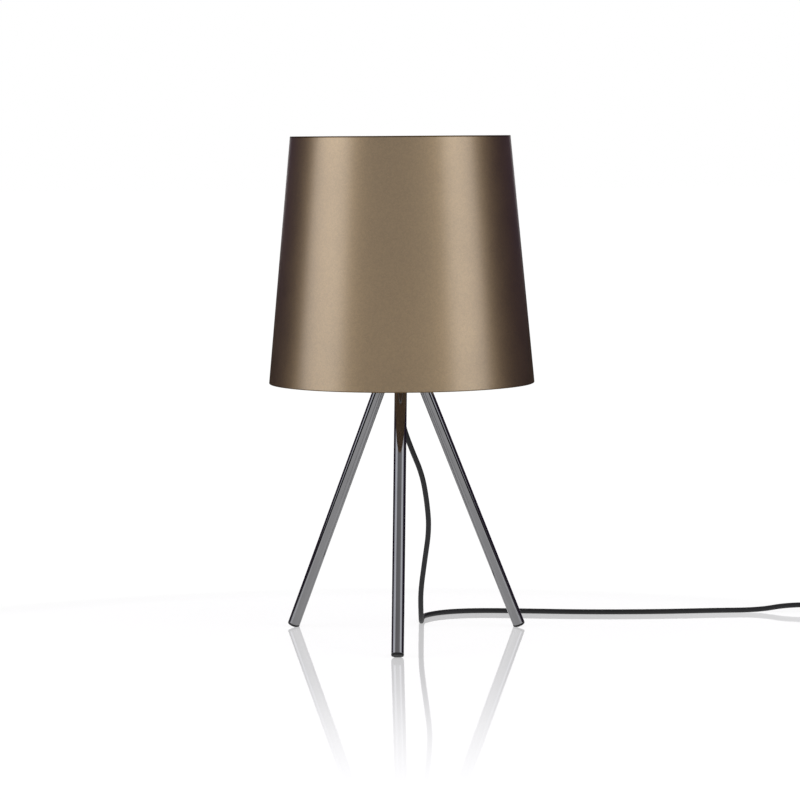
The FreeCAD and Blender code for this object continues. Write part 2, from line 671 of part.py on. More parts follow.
def bulb_filaments():
    """Four upright filaments."""
    one = Part.makeCylinder(FILAMENT_RADIUS, FILAMENT_LENGTH,
                            Vector(FILAMENT_CIRCLE, 0, stem_disc_z() + SEAT))
    return [placed(one, Placement(Vector(), Rotation(UP, 90 * index))) for index in range(4)]


# ---- cords --------------------------------------------------------------------------
def bend_arc(start, corner, end):
    """Arc from start to end, tangent to the lines that meet at the corner.

    Start and end lie equally far from the corner.
    """
    chord_middle = (start + end) * 0.5
    leg = corner.distanceToPoint(start)
    half_chord = start.distanceToPoint(chord_middle)
    cosine = half_chord / leg
    share = cosine / (1 + cosine)
    return Part.Arc(start, chord_middle + (corner - chord_middle) * share, end).toShape()


def rounded_path(points):
    """Straight runs joined by tangent arcs, as large as the runs allow, and their radii."""
    edges, radii = [], []
    last = points[0]
    for before, corner, after in zip(points, points[1:], points[2:]):
        arriving = (corner - before).normalize()
        leaving = (after - corner).normalize()
        reach = 0.45 * min(corner.distanceToPoint(before), corner.distanceToPoint(after))
        start = corner - arriving * reach
        end = corner + leaving * reach
        edges.append(Part.LineSegment(last, start).toShape())
        edges.append(bend_arc(start, corner, end))
        radii.append(reach / math.tan(arriving.getAngle(leaving) / 2))
        last = end
    edges.append(Part.LineSegment(last, points[-1]).toShape())
    return Part.Wire(edges), radii


def swept(path, start, direction, radius):
    """Round tube along a path, in the sweep's default mode."""
    section = Part.Wire(Part.makeCircle(radius, start, direction))
    shell = Part.BRepOffsetAPI.MakePipeShell(path)
    shell.add(section)
    shell.build()
    shell.makeSolid()
    return shell.shape()


def tube(points, radius):
    """Round tube along a route of hand-picked points."""
    path, _ = rounded_path(points)
    return swept(path, points[0], points[1] - points[0], radius)


def cord(label, points):
    """A free stretch of the lead, with its bend radii and volume printed for checking."""
    path, radii = rounded_path(points)
    solid = swept(path, points[0], points[1] - points[0], CORD_RADIUS)
    expected = math.pi * CORD_RADIUS ** 2 * path.Length
    print(f"{label}: length {path.Length:.0f}, radii " + " ".join(f"{r:.0f}" for r in radii)
          + f", volume / section x length {solid.Volume / expected:.4f}")
    return solid


def coil_point(turns):
    """Point of the coil's middle line after a number of turns: in, up a layer, and out."""
    climb = 0.5
    first = COIL_LAYER_TURNS
    inward = min(turns, first + climb / 2)
    outward = max(turns - first - climb / 2, 0)
    radius = COIL_OUTER - COIL_PITCH * (inward - outward)
    rise = min(max((turns - first) / climb, 0), 1)
    z = COIL_Z + COIL_LAYER_STEP * (1 - math.cos(math.pi * rise)) / 2
    angle = math.radians(COIL_START_ANGLE) + 2 * math.pi * turns
    return Vector(COIL_X + radius * math.cos(angle), COIL_Y + radius * math.sin(angle), z)


def coil_turns():
    """Turns in the whole coil."""
    return 2 * COIL_LAYER_TURNS + 0.5


def coil_heading(turns):
    """Unit tangent of the coil's middle line, level and square to the radius at its ends."""
    if turns in (0, coil_turns()):
        angle = math.radians(COIL_START_ANGLE) + 2 * math.pi * turns
        return Vector(-math.sin(angle), math.cos(angle), 0)
    step = 0.01
    return (coil_point(turns + step) - coil_point(turns - step)).normalize()


def biarc(start, heading, end, end_heading):
    """Two arcs from start to end with the given tangents."""
    across = end - start
    both = heading + end_heading
    a = 2 * (1 - heading.dot(end_heading))
    b = 2 * across.dot(both)
    c = -across.dot(across)
    leg = (-b + math.sqrt(b * b - 4 * a * c)) / (2 * a)
    first, second = start + heading * leg, end - end_heading * leg
    middle = (first + second) * 0.5
    return [bend_arc(start, first, middle), bend_arc(middle, second, end)]


def cord_coil():
    """The put-away length: one unbroken tube in two layers of turns."""
    steps = round(coil_turns() * 4)
    stops = [coil_turns() * i / steps for i in range(steps + 1)]
    edges = []
    entry = coil_point(0) - coil_heading(0) * CORD_DIA
    edges.append(Part.LineSegment(entry, coil_point(0)).toShape())
    for here, there in zip(stops, stops[1:]):
        edges += biarc(coil_point(here), coil_heading(here), coil_point(there), coil_heading(there))
    last = coil_point(stops[-1])
    edges.append(Part.LineSegment(last, last + coil_heading(stops[-1]) * CORD_DIA).toShape())
    path = Part.Wire(edges)
    solid = swept(path, entry, coil_heading(0), CORD_RADIUS)
    points = path.discretize(Distance=2.0)
    apart = round(4 * CORD_DIA / 2.0)
    gap = min(p.distanceToPoint(q) for i, p in enumerate(points) for q in points[i + apart:])
    expected = math.pi * CORD_RADIUS ** 2 * path.Length
    print(f"coil: length {path.Length:.0f}, least gap to itself {gap - CORD_DIA:.2f},"
          f" volume / section x length {solid.Volume / expected:.4f}")
    return solid


def tail_start():
    """Free end of the coil's upper layer."""
    return coil_point(coil_turns()) + coil_heading(coil_turns()) * CORD_DIA


def tail_route():
    """Route from the coil's upper layer down to the plug's boot."""
    first = tail_start()
    level = Vector(first.x, first.y - TAIL_LEVEL, first.z)
    low = Vector(plug_x(), level.y - TAIL_FALL, PLUG_Z)
    return [first, level, low, Vector(plug_x(), low.y - TAIL_END, PLUG_Z)]


def plug_x():
    """X of the plug's middle plane."""
    return COIL_X - COIL_OUTER + PLUG_ASIDE


def plug_rear():
    """Y of the plug's rear face."""
    return tail_start().y - TAIL_LEVEL - TAIL_FALL - TAIL_END - BOOT_LENGTH


def cord_tie():
    """Strap round all the coil's turns at one place, in the coil's own radial frame."""
    steps = 400
    crossing = []
    for i in range(steps + 1):
        point = coil_point(coil_turns() * i / steps) - Vector(COIL_X, COIL_Y, 0)
        along = Rotation(UP, -TIE_ANGLE).multVec(point)
        if along.x > 0 and abs(along.y) <= TIE_WIDTH:
            crossing.append(along)
    room = CORD_RADIUS + TIE_GAP
    low, high = min(p.x for p in crossing) - room, max(p.x for p in crossing) + room
    bottom, top = TIE_THICKNESS, COIL_TOP + room
    width = high - low + 2 * TIE_THICKNESS
    outer = Part.makeBox(width, TIE_WIDTH, top + TIE_THICKNESS,
                         Vector(low - TIE_THICKNESS, -TIE_WIDTH / 2, 0))
    inner = Part.makeBox(high - low, TIE_WIDTH, top - bottom, Vector(low, -TIE_WIDTH / 2, bottom))
    outer = outer.makeFillet(2.0, [e for e in outer.Edges if lies_along_y(e)])
    inner = inner.makeFillet(1.5, [e for e in inner.Edges if lies_along_y(e)])
    return placed(outer.cut(inner), Placement(Vector(COIL_X, COIL_Y, 0), Rotation(UP, TIE_ANGLE)))


def lies_along_y(edge):
    """True for a straight edge parallel to Y."""
    return abs(edge.tangentAt(edge.FirstParameter).y) > 0.99


# ---- in-line switch, in a frame at its middle on the floor, its length along X -------
def at_switch(shape):
    """A copy of a shape, moved from the switch's frame to its place."""
    return placed(shape, Placement(Vector(SWITCH_X, SWITCH_Y, 0), Rotation()))


def switch_form(inset):
    """Outer form of the closed switch, or the space inside it when inset by the wall."""
    return rounded_box(SWITCH_LENGTH - 2 * inset, SWITCH_WIDTH - 2 * inset, inset,
                       SWITCH_HEIGHT - inset, SWITCH_ROUND - inset / 2)


def soft_form():
    """Outer form with its top edge rounded."""
    form = switch_form(0)
    top = [e for e in form.Edges if abs(e.CenterOfMass.z - SWITCH_HEIGHT) < 0.01]
    return form.makeFillet(SWITCH_ROUND / 2, top)


def slab(bottom, top):
    """A slab wider than the switch, between two heights."""
    length, width = 2 * SWITCH_LENGTH, 2 * SWITCH_WIDTH
    return Part.makeBox(length, width, top - bottom, Vector(-length / 2, -width / 2, bottom))


def boot_holes():
    """Cylinder through both end walls, for the boots' necks."""
    return Part.makeCylinder(BOOT_NECK_RADIUS + FIT, SWITCH_LENGTH,
                             Vector(-SWITCH_LENGTH / 2, 0, SWITCH_SPLIT), Vector(1, 0, 0))


def switch_base():
    """Lower shell of the switch, with bosses that the screws pass through."""
    body = soft_form().common(slab(0, SWITCH_SPLIT))
    body = body.cut(switch_form(SWITCH_WALL))
    for side in (-1, 1):
        boss = disc(BOSS_RADIUS, SWITCH_WALL / 2, SWITCH_SPLIT)
        body = body.fuse(boss.translated(Vector(side * SWITCH_SCREW_X, SWITCH_BOSS_Y, 0)))
        hole = disc(SWITCH_SCREW_RADIUS + FIT, 0, SWITCH_SPLIT)
        hole = hole.fuse(disc(SWITCH_SCREW_HEAD + FIT, 0, SWITCH_SCREW_HEAD_HEIGHT + SEAT))
        body = body.cut(hole.translated(Vector(side * SWITCH_SCREW_X, SWITCH_BOSS_Y, 0)))
    return at_switch(body.cut(boot_holes()).removeSplitter())


def rocker_space():
    """The rocker's way through the cover: a round-ended slot about its pivot."""
    width = ROCKER_WIDTH + 2 * ROCKER_GAP
    space = Part.makeCylinder(ROCKER_RADIUS + ROCKER_GAP, width,
                              Vector(0, -width / 2, ROCKER_PIVOT_Z), Vector(0, 1, 0))
    tall = SWITCH_HEIGHT - ROCKER_PIVOT_Z + 1
    box = Part.makeBox(2 * (ROCKER_RADIUS + ROCKER_GAP), width, tall,
                       Vector(-ROCKER_RADIUS - ROCKER_GAP, -width / 2, ROCKER_PIVOT_Z))
    return space.fuse(box)


def switch_cover():
    """Upper shell of the switch, with the rocker's slot, its pivot ribs and screw bosses."""
    split = SWITCH_SPLIT + SEAT
    body = soft_form().common(slab(split, SWITCH_HEIGHT))
    body = body.cut(switch_form(SWITCH_WALL))
    inner = ROCKER_WIDTH / 2 + ROCKER_GAP
    for side in (-1, 1):
        boss = disc(BOSS_RADIUS, split, SWITCH_HEIGHT - SWITCH_WALL / 2)
        boss = boss.translated(Vector(side * SWITCH_SCREW_X, SWITCH_BOSS_Y, 0))
        rib_y = inner if side > 0 else -inner - RIB_THICKNESS
        rib = Part.makeBox(8, RIB_THICKNESS, SWITCH_HEIGHT - SWITCH_WALL / 2 - ROCKER_PIVOT_Z + 3,
                           Vector(-4, rib_y, ROCKER_PIVOT_Z - 3))
        body = body.fuse(boss).fuse(rib)
        hole = disc(SWITCH_SCREW_RADIUS + FIT, split, SWITCH_SCREW_LENGTH + SWITCH_SCREW_HEAD_HEIGHT)
        body = body.cut(hole.translated(Vector(side * SWITCH_SCREW_X, SWITCH_BOSS_Y, 0)))
    body = body.cut(rocker_space()).cut(boot_holes())
    pin_hole = Part.makeCylinder(ROCKER_PIN_RADIUS + FIT / 2, 2 * inner + 2 * RIB_THICKNESS,
                                 Vector(0, -inner - RIB_THICKNESS, ROCKER_PIVOT_Z), Vector(0, 1, 0))
    return at_switch(body.cut(pin_hole).removeSplitter())


def switch_rocker():
    """Rocker with a shallow vee top, resting at one end of its travel."""
    radius, width = ROCKER_RADIUS, ROCKER_WIDTH
    low, high = -ROCKER_DEPTH, ROCKER_RISE
    tip = high + radius * math.tan(math.radians(ROCKER_ANGLE))
    outline = [Vector(-radius, 0, low), Vector(0, 0, low - 1), Vector(radius, 0, low),
               Vector(radius, 0, tip), Vector(0, 0, high), Vector(-radius, 0, tip),
               Vector(-radius, 0, low)]
    body = Part.Face(Part.makePolygon(outline)).extrude(Vector(0, width, 0))
    body = body.translated(Vector(0, -width / 2, 0))
    body = body.common(Part.makeCylinder(radius, width, Vector(0, -width / 2, 0), Vector(0, 1, 0)))
    body = body.cut(Part.makeCylinder(ROCKER_PIN_RADIUS + FIT, width, Vector(0, -width / 2, 0),
                                      Vector(0, 1, 0)))
    tilted = Placement(Vector(0, 0, ROCKER_PIVOT_Z), Rotation(Vector(0, 1, 0), -ROCKER_ANGLE))
    return at_switch(placed(body, tilted))


def rocker_pin():
    """Pivot pin across the switch."""
    half = ROCKER_WIDTH / 2 + ROCKER_GAP + RIB_THICKNESS
    return at_switch(Part.makeCylinder(ROCKER_PIN_RADIUS, 2 * half,
                                       Vector(0, -half, ROCKER_PIVOT_Z), Vector(0, 1, 0)))


def switch_screws():
    """Two screws from below that hold base and cover together."""
    one = screw(SWITCH_SCREW_HEAD, SWITCH_SCREW_HEAD_HEIGHT - 0.4, SWITCH_SCREW_RADIUS,
                SWITCH_SCREW_LENGTH - 1, 0.8)
    return [at_switch(one.translated(Vector(side * SWITCH_SCREW_X, SWITCH_BOSS_Y,
                                            SWITCH_SCREW_HEAD_HEIGHT)))
            for side in (-1, 1)]


def switch_terminals():
    """Two brass terminal blocks on the switch's floor."""
    length, width, height = TERMINAL_BLOCK
    block = Part.makeBox(length, width, height, Vector(-length / 2, -width / 2, SWITCH_WALL + SEAT))
    block = block.cut(Part.makeCylinder(1.5, length, Vector(-length / 2, 0, SWITCH_WALL + height / 2),
                                        Vector(1, 0, 0)))
    return [at_switch(block.translated(Vector(side * 10, -4.5, 0))) for side in (-1, 1)]


def boot(radial_neck):
    """Tapered cord boot along +X from a wall at x = 0; with a neck and flange inside the wall."""
    profile = [(0, 0.1), (BOOT_ROOT_RADIUS, 0.1), (BOOT_END_RADIUS, BOOT_LENGTH), (0, BOOT_LENGTH)]
    body = turned(profile)
    for index in range(4):
        z = 4.0 + 4.5 * index
        outer = BOOT_ROOT_RADIUS + 1
        body = body.cut(ring(outer, CORD_RADIUS + 0.6, z, z + 1.2))
    if radial_neck:
        inner = -SWITCH_WALL - BOOT_FLANGE_LENGTH - SEAT
        body = body.fuse(disc(BOOT_NECK_RADIUS, -SWITCH_WALL - SEAT, 0.2))
        body = body.fuse(disc(BOOT_FLANGE_RADIUS, inner, -SWITCH_WALL - SEAT))
    return placed(body.removeSplitter(), Placement(Vector(), Rotation(Vector(0, 1, 0), 90)))


def switch_boot(side):
    """Boot at one end of the switch: -1 on the lamp's side, 1 on the plug's."""
    turn = Rotation(UP, 0 if side > 0 else 180)
    place = Vector(side * SWITCH_LENGTH / 2, 0, SWITCH_SPLIT)
    return at_switch(placed(boot(True), Placement(place, turn)))


# ---- plug ---------------------------------------------------------------------------
def plug_body():
    """Flat moulded plug, its pin face towards -Y."""
    rear, face = plug_rear(), plug_rear() - PLUG_LENGTH
    wide, narrow = PLUG_FACE_WIDTH / 2, PLUG_REAR_WIDTH / 2
    x = plug_x()
    plan = [(wide, face), (wide, face + PLUG_FACE_LENGTH), (narrow, rear), (-narrow, rear),
            (-wide, face + PLUG_FACE_LENGTH), (-wide, face), (wide, face)]
    outline = Part.makePolygon([Vector(x + across, y, 0) for across, y in plan])
    body = Part.Face(outline).extrude(Vector(0, 0, PLUG_THICKNESS))
    long_edges = [e for e in body.Edges if abs(e.CenterOfMass.y - rear) > 0.1
                  and abs(e.CenterOfMass.y - face) > 0.1]
    body = body.makeFillet(PLUG_ROUND, long_edges)
    for side in (-1, 1):
        body = body.cut(plug_pin(side, FIT / 2))
    return body


def plug_pin(side, play=0.0):
    """One round plug pin with its thinner root, or its hole in the body when given play."""
    face = plug_rear() - PLUG_LENGTH
    x = plug_x() + side * PIN_SPACING / 2
    out = Vector(0, -1, 0)
    root = Part.makeCylinder(PIN_ROOT_DIA / 2 + play, PIN_ROOT, Vector(x, face + PIN_ROOT, PLUG_Z), out)
    if play:
        return root
    pin = Part.makeCylinder(PIN_DIA / 2, PIN_LENGTH, Vector(x, face, PLUG_Z), out)
    tip = [e for e in pin.Edges if abs(e.CenterOfMass.y - (face - PIN_LENGTH)) < 0.01]
    return pin.makeFillet(PIN_ROUND, tip).fuse(root).removeSplitter()


def plug_boot():
    """Boot behind the plug."""
    place = Placement(Vector(plug_x(), plug_rear(), PLUG_Z), Rotation(UP, 90))
    return placed(boot(False), place)


# ---- nodes --------------------------------------------------------------------------
def build_nodes():
    """Every node of the lamp: a name and its shape, or a list of shapes."""
    nodes = {"hub": hub(), "hub_nipple": nipple(), "hub_nut": hub_nut(), "hub_washer": washer()}
    for name, azimuth in LEG_AZIMUTHS.items():
        nodes["leg_" + name] = placed(leg_tube(), on_leg(azimuth))
        nodes["leg_plug_" + name] = placed(leg_plug(), on_leg(azimuth))
        nodes["foot_tip_" + name] = foot_tip(azimuth)
    nodes["leg_grub_screws"] = [placed(grub_screw(), on_leg(a)) for a in LEG_AZIMUTHS.values()]
    nodes["cord_gland"] = cord_gland()
    nodes["strain_relief"] = strain_relief()
    nodes["cord_inner"] = cord_inner()
    nodes["wire_live"] = wire(-1)
    nodes["wire_neutral"] = wire(1)
    nodes["holder_cap"] = holder_cap()
    nodes["holder_sleeve"] = holder_sleeve()
    nodes["holder_insert"] = holder_insert()
    nodes["holder_screw_shell"] = screw_shell()
    nodes["holder_centre_contact"] = centre_contact()
    nodes["holder_side_strip"] = side_strip()
    nodes["holder_terminal_screws"] = terminal_screws()
    nodes["ring_nut_lower"] = ring_nut(RING_NUT_Z)
    nodes["ring_nut_upper"] = ring_nut(UPPER_NUT_Z)
    nodes["shade"] = shade()
    nodes["shade_hoop"] = shade_hoop()
    nodes["shade_spokes"] = shade_spokes()
    nodes["carrier_ring"] = carrier_ring()
    nodes["bulb_contact"] = bulb_contact()
    nodes["bulb_insulator"] = bulb_insulator()
    nodes["bulb_cap"] = bulb_cap()
    nodes["bulb_globe"] = bulb_globe()
    nodes["bulb_stem"] = bulb_stem()
    nodes["bulb_filaments"] = bulb_filaments()
    nodes["cord_lead"] = cord("cord_lead", LEAD_ROUTE)
    nodes["cord_loop"] = cord("cord_loop", LOOP_ROUTE)
    nodes["cord_coil"] = cord_coil()
    nodes["cord_tail"] = cord("cord_tail", tail_route())
    nodes["cord_tie"] = cord_tie()
    nodes["switch_base"] = switch_base()
    nodes["switch_cover"] = switch_cover()
    nodes["switch_rocker"] = switch_rocker()
    nodes["switch_rocker_pin"] = rocker_pin()
    nodes["switch_screws"] = switch_screws()
    nodes["switch_terminals"] = switch_terminals()
    nodes["switch_boot_lamp"] = switch_boot(-1)
    nodes["switch_boot_plug"] = switch_boot(1)
    nodes["plug_body"] = plug_body()
    nodes["plug_pins"] = [plug_pin(-1), plug_pin(1)]
    nodes["plug_boot"] = plug_boot()
    return nodes


def main():
    """Writes one STEP file for each node."""
    os.makedirs("parts", exist_ok=True)
    for name, shape in build_nodes().items():
        if isinstance(shape, list):
            shape = Part.makeCompound(shape)
        shape.exportStep(f"parts/{name}.step")
        box = shape.optimalBoundingBox()
        print(f"{name}: {len(shape.Solids)} solid(s), valid {shape.isValid()},"
              f" volume {shape.Volume:.1f}, z {box.ZMin:.2f} to {box.ZMax:.2f}")


if __name__ == "__main__":
    main()
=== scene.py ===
"""Tripod table lamp in a white studio.

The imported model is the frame: every piece here is in metres, in the model's own places.
The shade and its wire work, the ring nuts, the legs, the bulb's glass and filaments, the
lead and its strap are built here at full smoothness; the other pieces keep their solids
and get their finishes.
"""

import json
import logging
import math
from dataclasses import dataclass
from enum import Enum
from typing import Iterable, Sequence

import bmesh
import bpy
from mathutils import Matrix, Vector

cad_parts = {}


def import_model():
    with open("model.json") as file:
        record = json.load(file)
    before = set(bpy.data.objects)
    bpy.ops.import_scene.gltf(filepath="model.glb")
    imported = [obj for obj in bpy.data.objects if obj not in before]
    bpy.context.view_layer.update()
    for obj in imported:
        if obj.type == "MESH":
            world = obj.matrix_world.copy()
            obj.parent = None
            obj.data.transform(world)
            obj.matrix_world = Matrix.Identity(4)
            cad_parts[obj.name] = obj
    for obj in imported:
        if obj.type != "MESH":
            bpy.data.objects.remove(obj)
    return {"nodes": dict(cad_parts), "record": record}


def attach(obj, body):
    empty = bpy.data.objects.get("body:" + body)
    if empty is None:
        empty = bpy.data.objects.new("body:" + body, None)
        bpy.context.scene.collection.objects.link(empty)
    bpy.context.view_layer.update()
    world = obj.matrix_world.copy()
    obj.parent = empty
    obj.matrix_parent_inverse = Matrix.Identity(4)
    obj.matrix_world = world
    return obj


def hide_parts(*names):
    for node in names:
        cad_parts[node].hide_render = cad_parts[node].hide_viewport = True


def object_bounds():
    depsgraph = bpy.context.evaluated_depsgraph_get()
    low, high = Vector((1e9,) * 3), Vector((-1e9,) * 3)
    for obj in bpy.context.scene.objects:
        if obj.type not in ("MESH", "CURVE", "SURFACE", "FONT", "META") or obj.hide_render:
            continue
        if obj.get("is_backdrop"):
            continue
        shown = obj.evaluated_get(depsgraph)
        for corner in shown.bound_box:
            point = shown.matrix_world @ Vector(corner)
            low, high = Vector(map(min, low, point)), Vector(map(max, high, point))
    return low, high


LOG = logging.getLogger("lamp")
Node = bpy.types.Node
Socket = bpy.types.NodeSocket
Pair = tuple[float, float]
Point = tuple[float, float, float]
Colour = tuple[float, float, float]
WHITE: Colour = (1.0, 1.0, 1.0)


def placed(name: str, data: bpy.types.ID) -> bpy.types.Object:
    """Makes an object at the origin and links it to the scene.

    Args:
        name: the object's name.
        data: its mesh, curve, lamp or camera.

    Returns:
        The object.
    """
    made = bpy.data.objects.new(name, data)
    bpy.context.scene.collection.objects.link(made)
    return made


# ---- node trees
class Wiring:
    """A small layer over a node tree: adds nodes and links them by socket name."""

    def __init__(self, tree: bpy.types.NodeTree) -> None:
        """Keeps the node tree to add to."""
        self.tree = tree

    @classmethod
    def fresh(cls, owner: bpy.types.ID) -> "Wiring":
        """Empties the node tree of a material or a world.

        Args:
            owner: the material or the world.

        Returns:
            The tree's wiring.
        """
        owner.use_nodes = True
        owner.node_tree.nodes.clear()
        return cls(owner.node_tree)

    def add(self, kind: str, settings: dict | None = None, *values: object,
            **inputs: object) -> Node:
        """Adds a node.

        Args:
            kind: the node's type name.
            settings: properties of the node itself.
            values: outputs to link or plain values for its first inputs, in order.
            inputs: the same by the input's name, with underscores for spaces.

        Returns:
            The new node.
        """
        node = self.tree.nodes.new(kind)
        for name, value in (settings or {}).items():
            setattr(node, name, value)
        for place, value in enumerate(values):
            self.feed(node, place, value)
        for name, value in inputs.items():
            self.feed(node, name.replace("_", " "), value)
        return node

    def feed(self, node: Node, socket: str | int, value: object) -> None:
        """Links an output to a socket, or sets the socket's own value.

        Args:
            node: the node that takes the input.
            socket: the input's name or place.
            value: a node, an output socket, or a plain value.
        """
        target = node.inputs[socket]
        if isinstance(value, Node):
            value = value.outputs[0]
        if isinstance(value, Socket):
            self.tree.links.new(value, target)
        else:
            target.default_value = value

    def math(self, operation: str, *values: object) -> Socket:
        """A Math node's output; its inputs are given in order."""
        return self.add("ShaderNodeMath", {"operation": operation}, *values).outputs[0]

    def blend(self, share: object, first: object, second: object) -> Socket:
        """Mixes two colours.

        Args:
            share: 0 for the first, 1 for the second.
            first: a colour or an output.
            second: a colour or an output.

        Returns:
            The mixed colour.
        """
        node = self.add("ShaderNodeMix", {"data_type": "RGBA"}, Factor=share)
        for socket, value in ((6, first), (7, second)):   # the node's inputs A and B
            self.feed(node, socket, value if isinstance(value, Socket) else (*value, 1))
        return node.outputs[2]

    def falling(self, value: Socket, full: float, gone: float) -> Socket:
        """Falls smoothly from 1, kept until full, to 0, reached at gone."""
        return self.add("ShaderNodeMapRange", {"interpolation_type": "SMOOTHSTEP"},
                        Value=value, From_Min=full, From_Max=gone, To_Min=1.0,
                        To_Max=0.0).outputs[0]

    def ramp(self, factor: object, stops: Sequence[Pair]) -> Socket:
        """Adds a grey ramp of straight runs.

        Args:
            factor: what drives the ramp, from 0 to 1.
            stops: pairs of place and level.

        Returns:
            The ramp's colour output.
        """
        node = self.add("ShaderNodeValToRGB", Fac=factor)
        band = node.color_ramp
        while len(band.elements) < len(stops):
            band.elements.new(0.5)
        for element, (place, level) in zip(band.elements, stops):
            element.position = place
            element.color = (level, level, level, 1)
        return node.outputs[0]


# ---- finishes
class Grain(Enum):
    """Fine relief of a finish."""

    FLAKE = "metal flake under lacquer"
    POLISHED = "polished plate with faint waviness"
    MOULDED = "fine moulded texture"
    MATTE = "soft rubber bloom"
    DRAWN = "drawn lines"
    GLAZED = "glaze over a slightly uneven body"


NOISE_SPAN: Pair = (0.3, 0.7)           # what most of a noise texture lies between
GLOSS_SCALE = 2.7                       # the gloss drifts finer than the colour by this
FLAKE_CELL = 0.5                        # scale of the flakes' colour against their relief's
FLAKE_SHARE = 0.6                       # share of the colour's drift that is flake by flake
LINE_SHARE = 0.03                       # drawn lines: scale along against across
RIM_SHADE_SHARE = 0.28                        # painted shade at the rims: their colour against the wall's
LINING_SCALE = 240.0                    # of the lining paint's mottle
LINING_SHADES: Pair = (0.92, 1.06)      # its darkest and lightest colour
LINING_ROUGHNESS: Pair = (0.10, 0.50)   # the mottle's part and the least


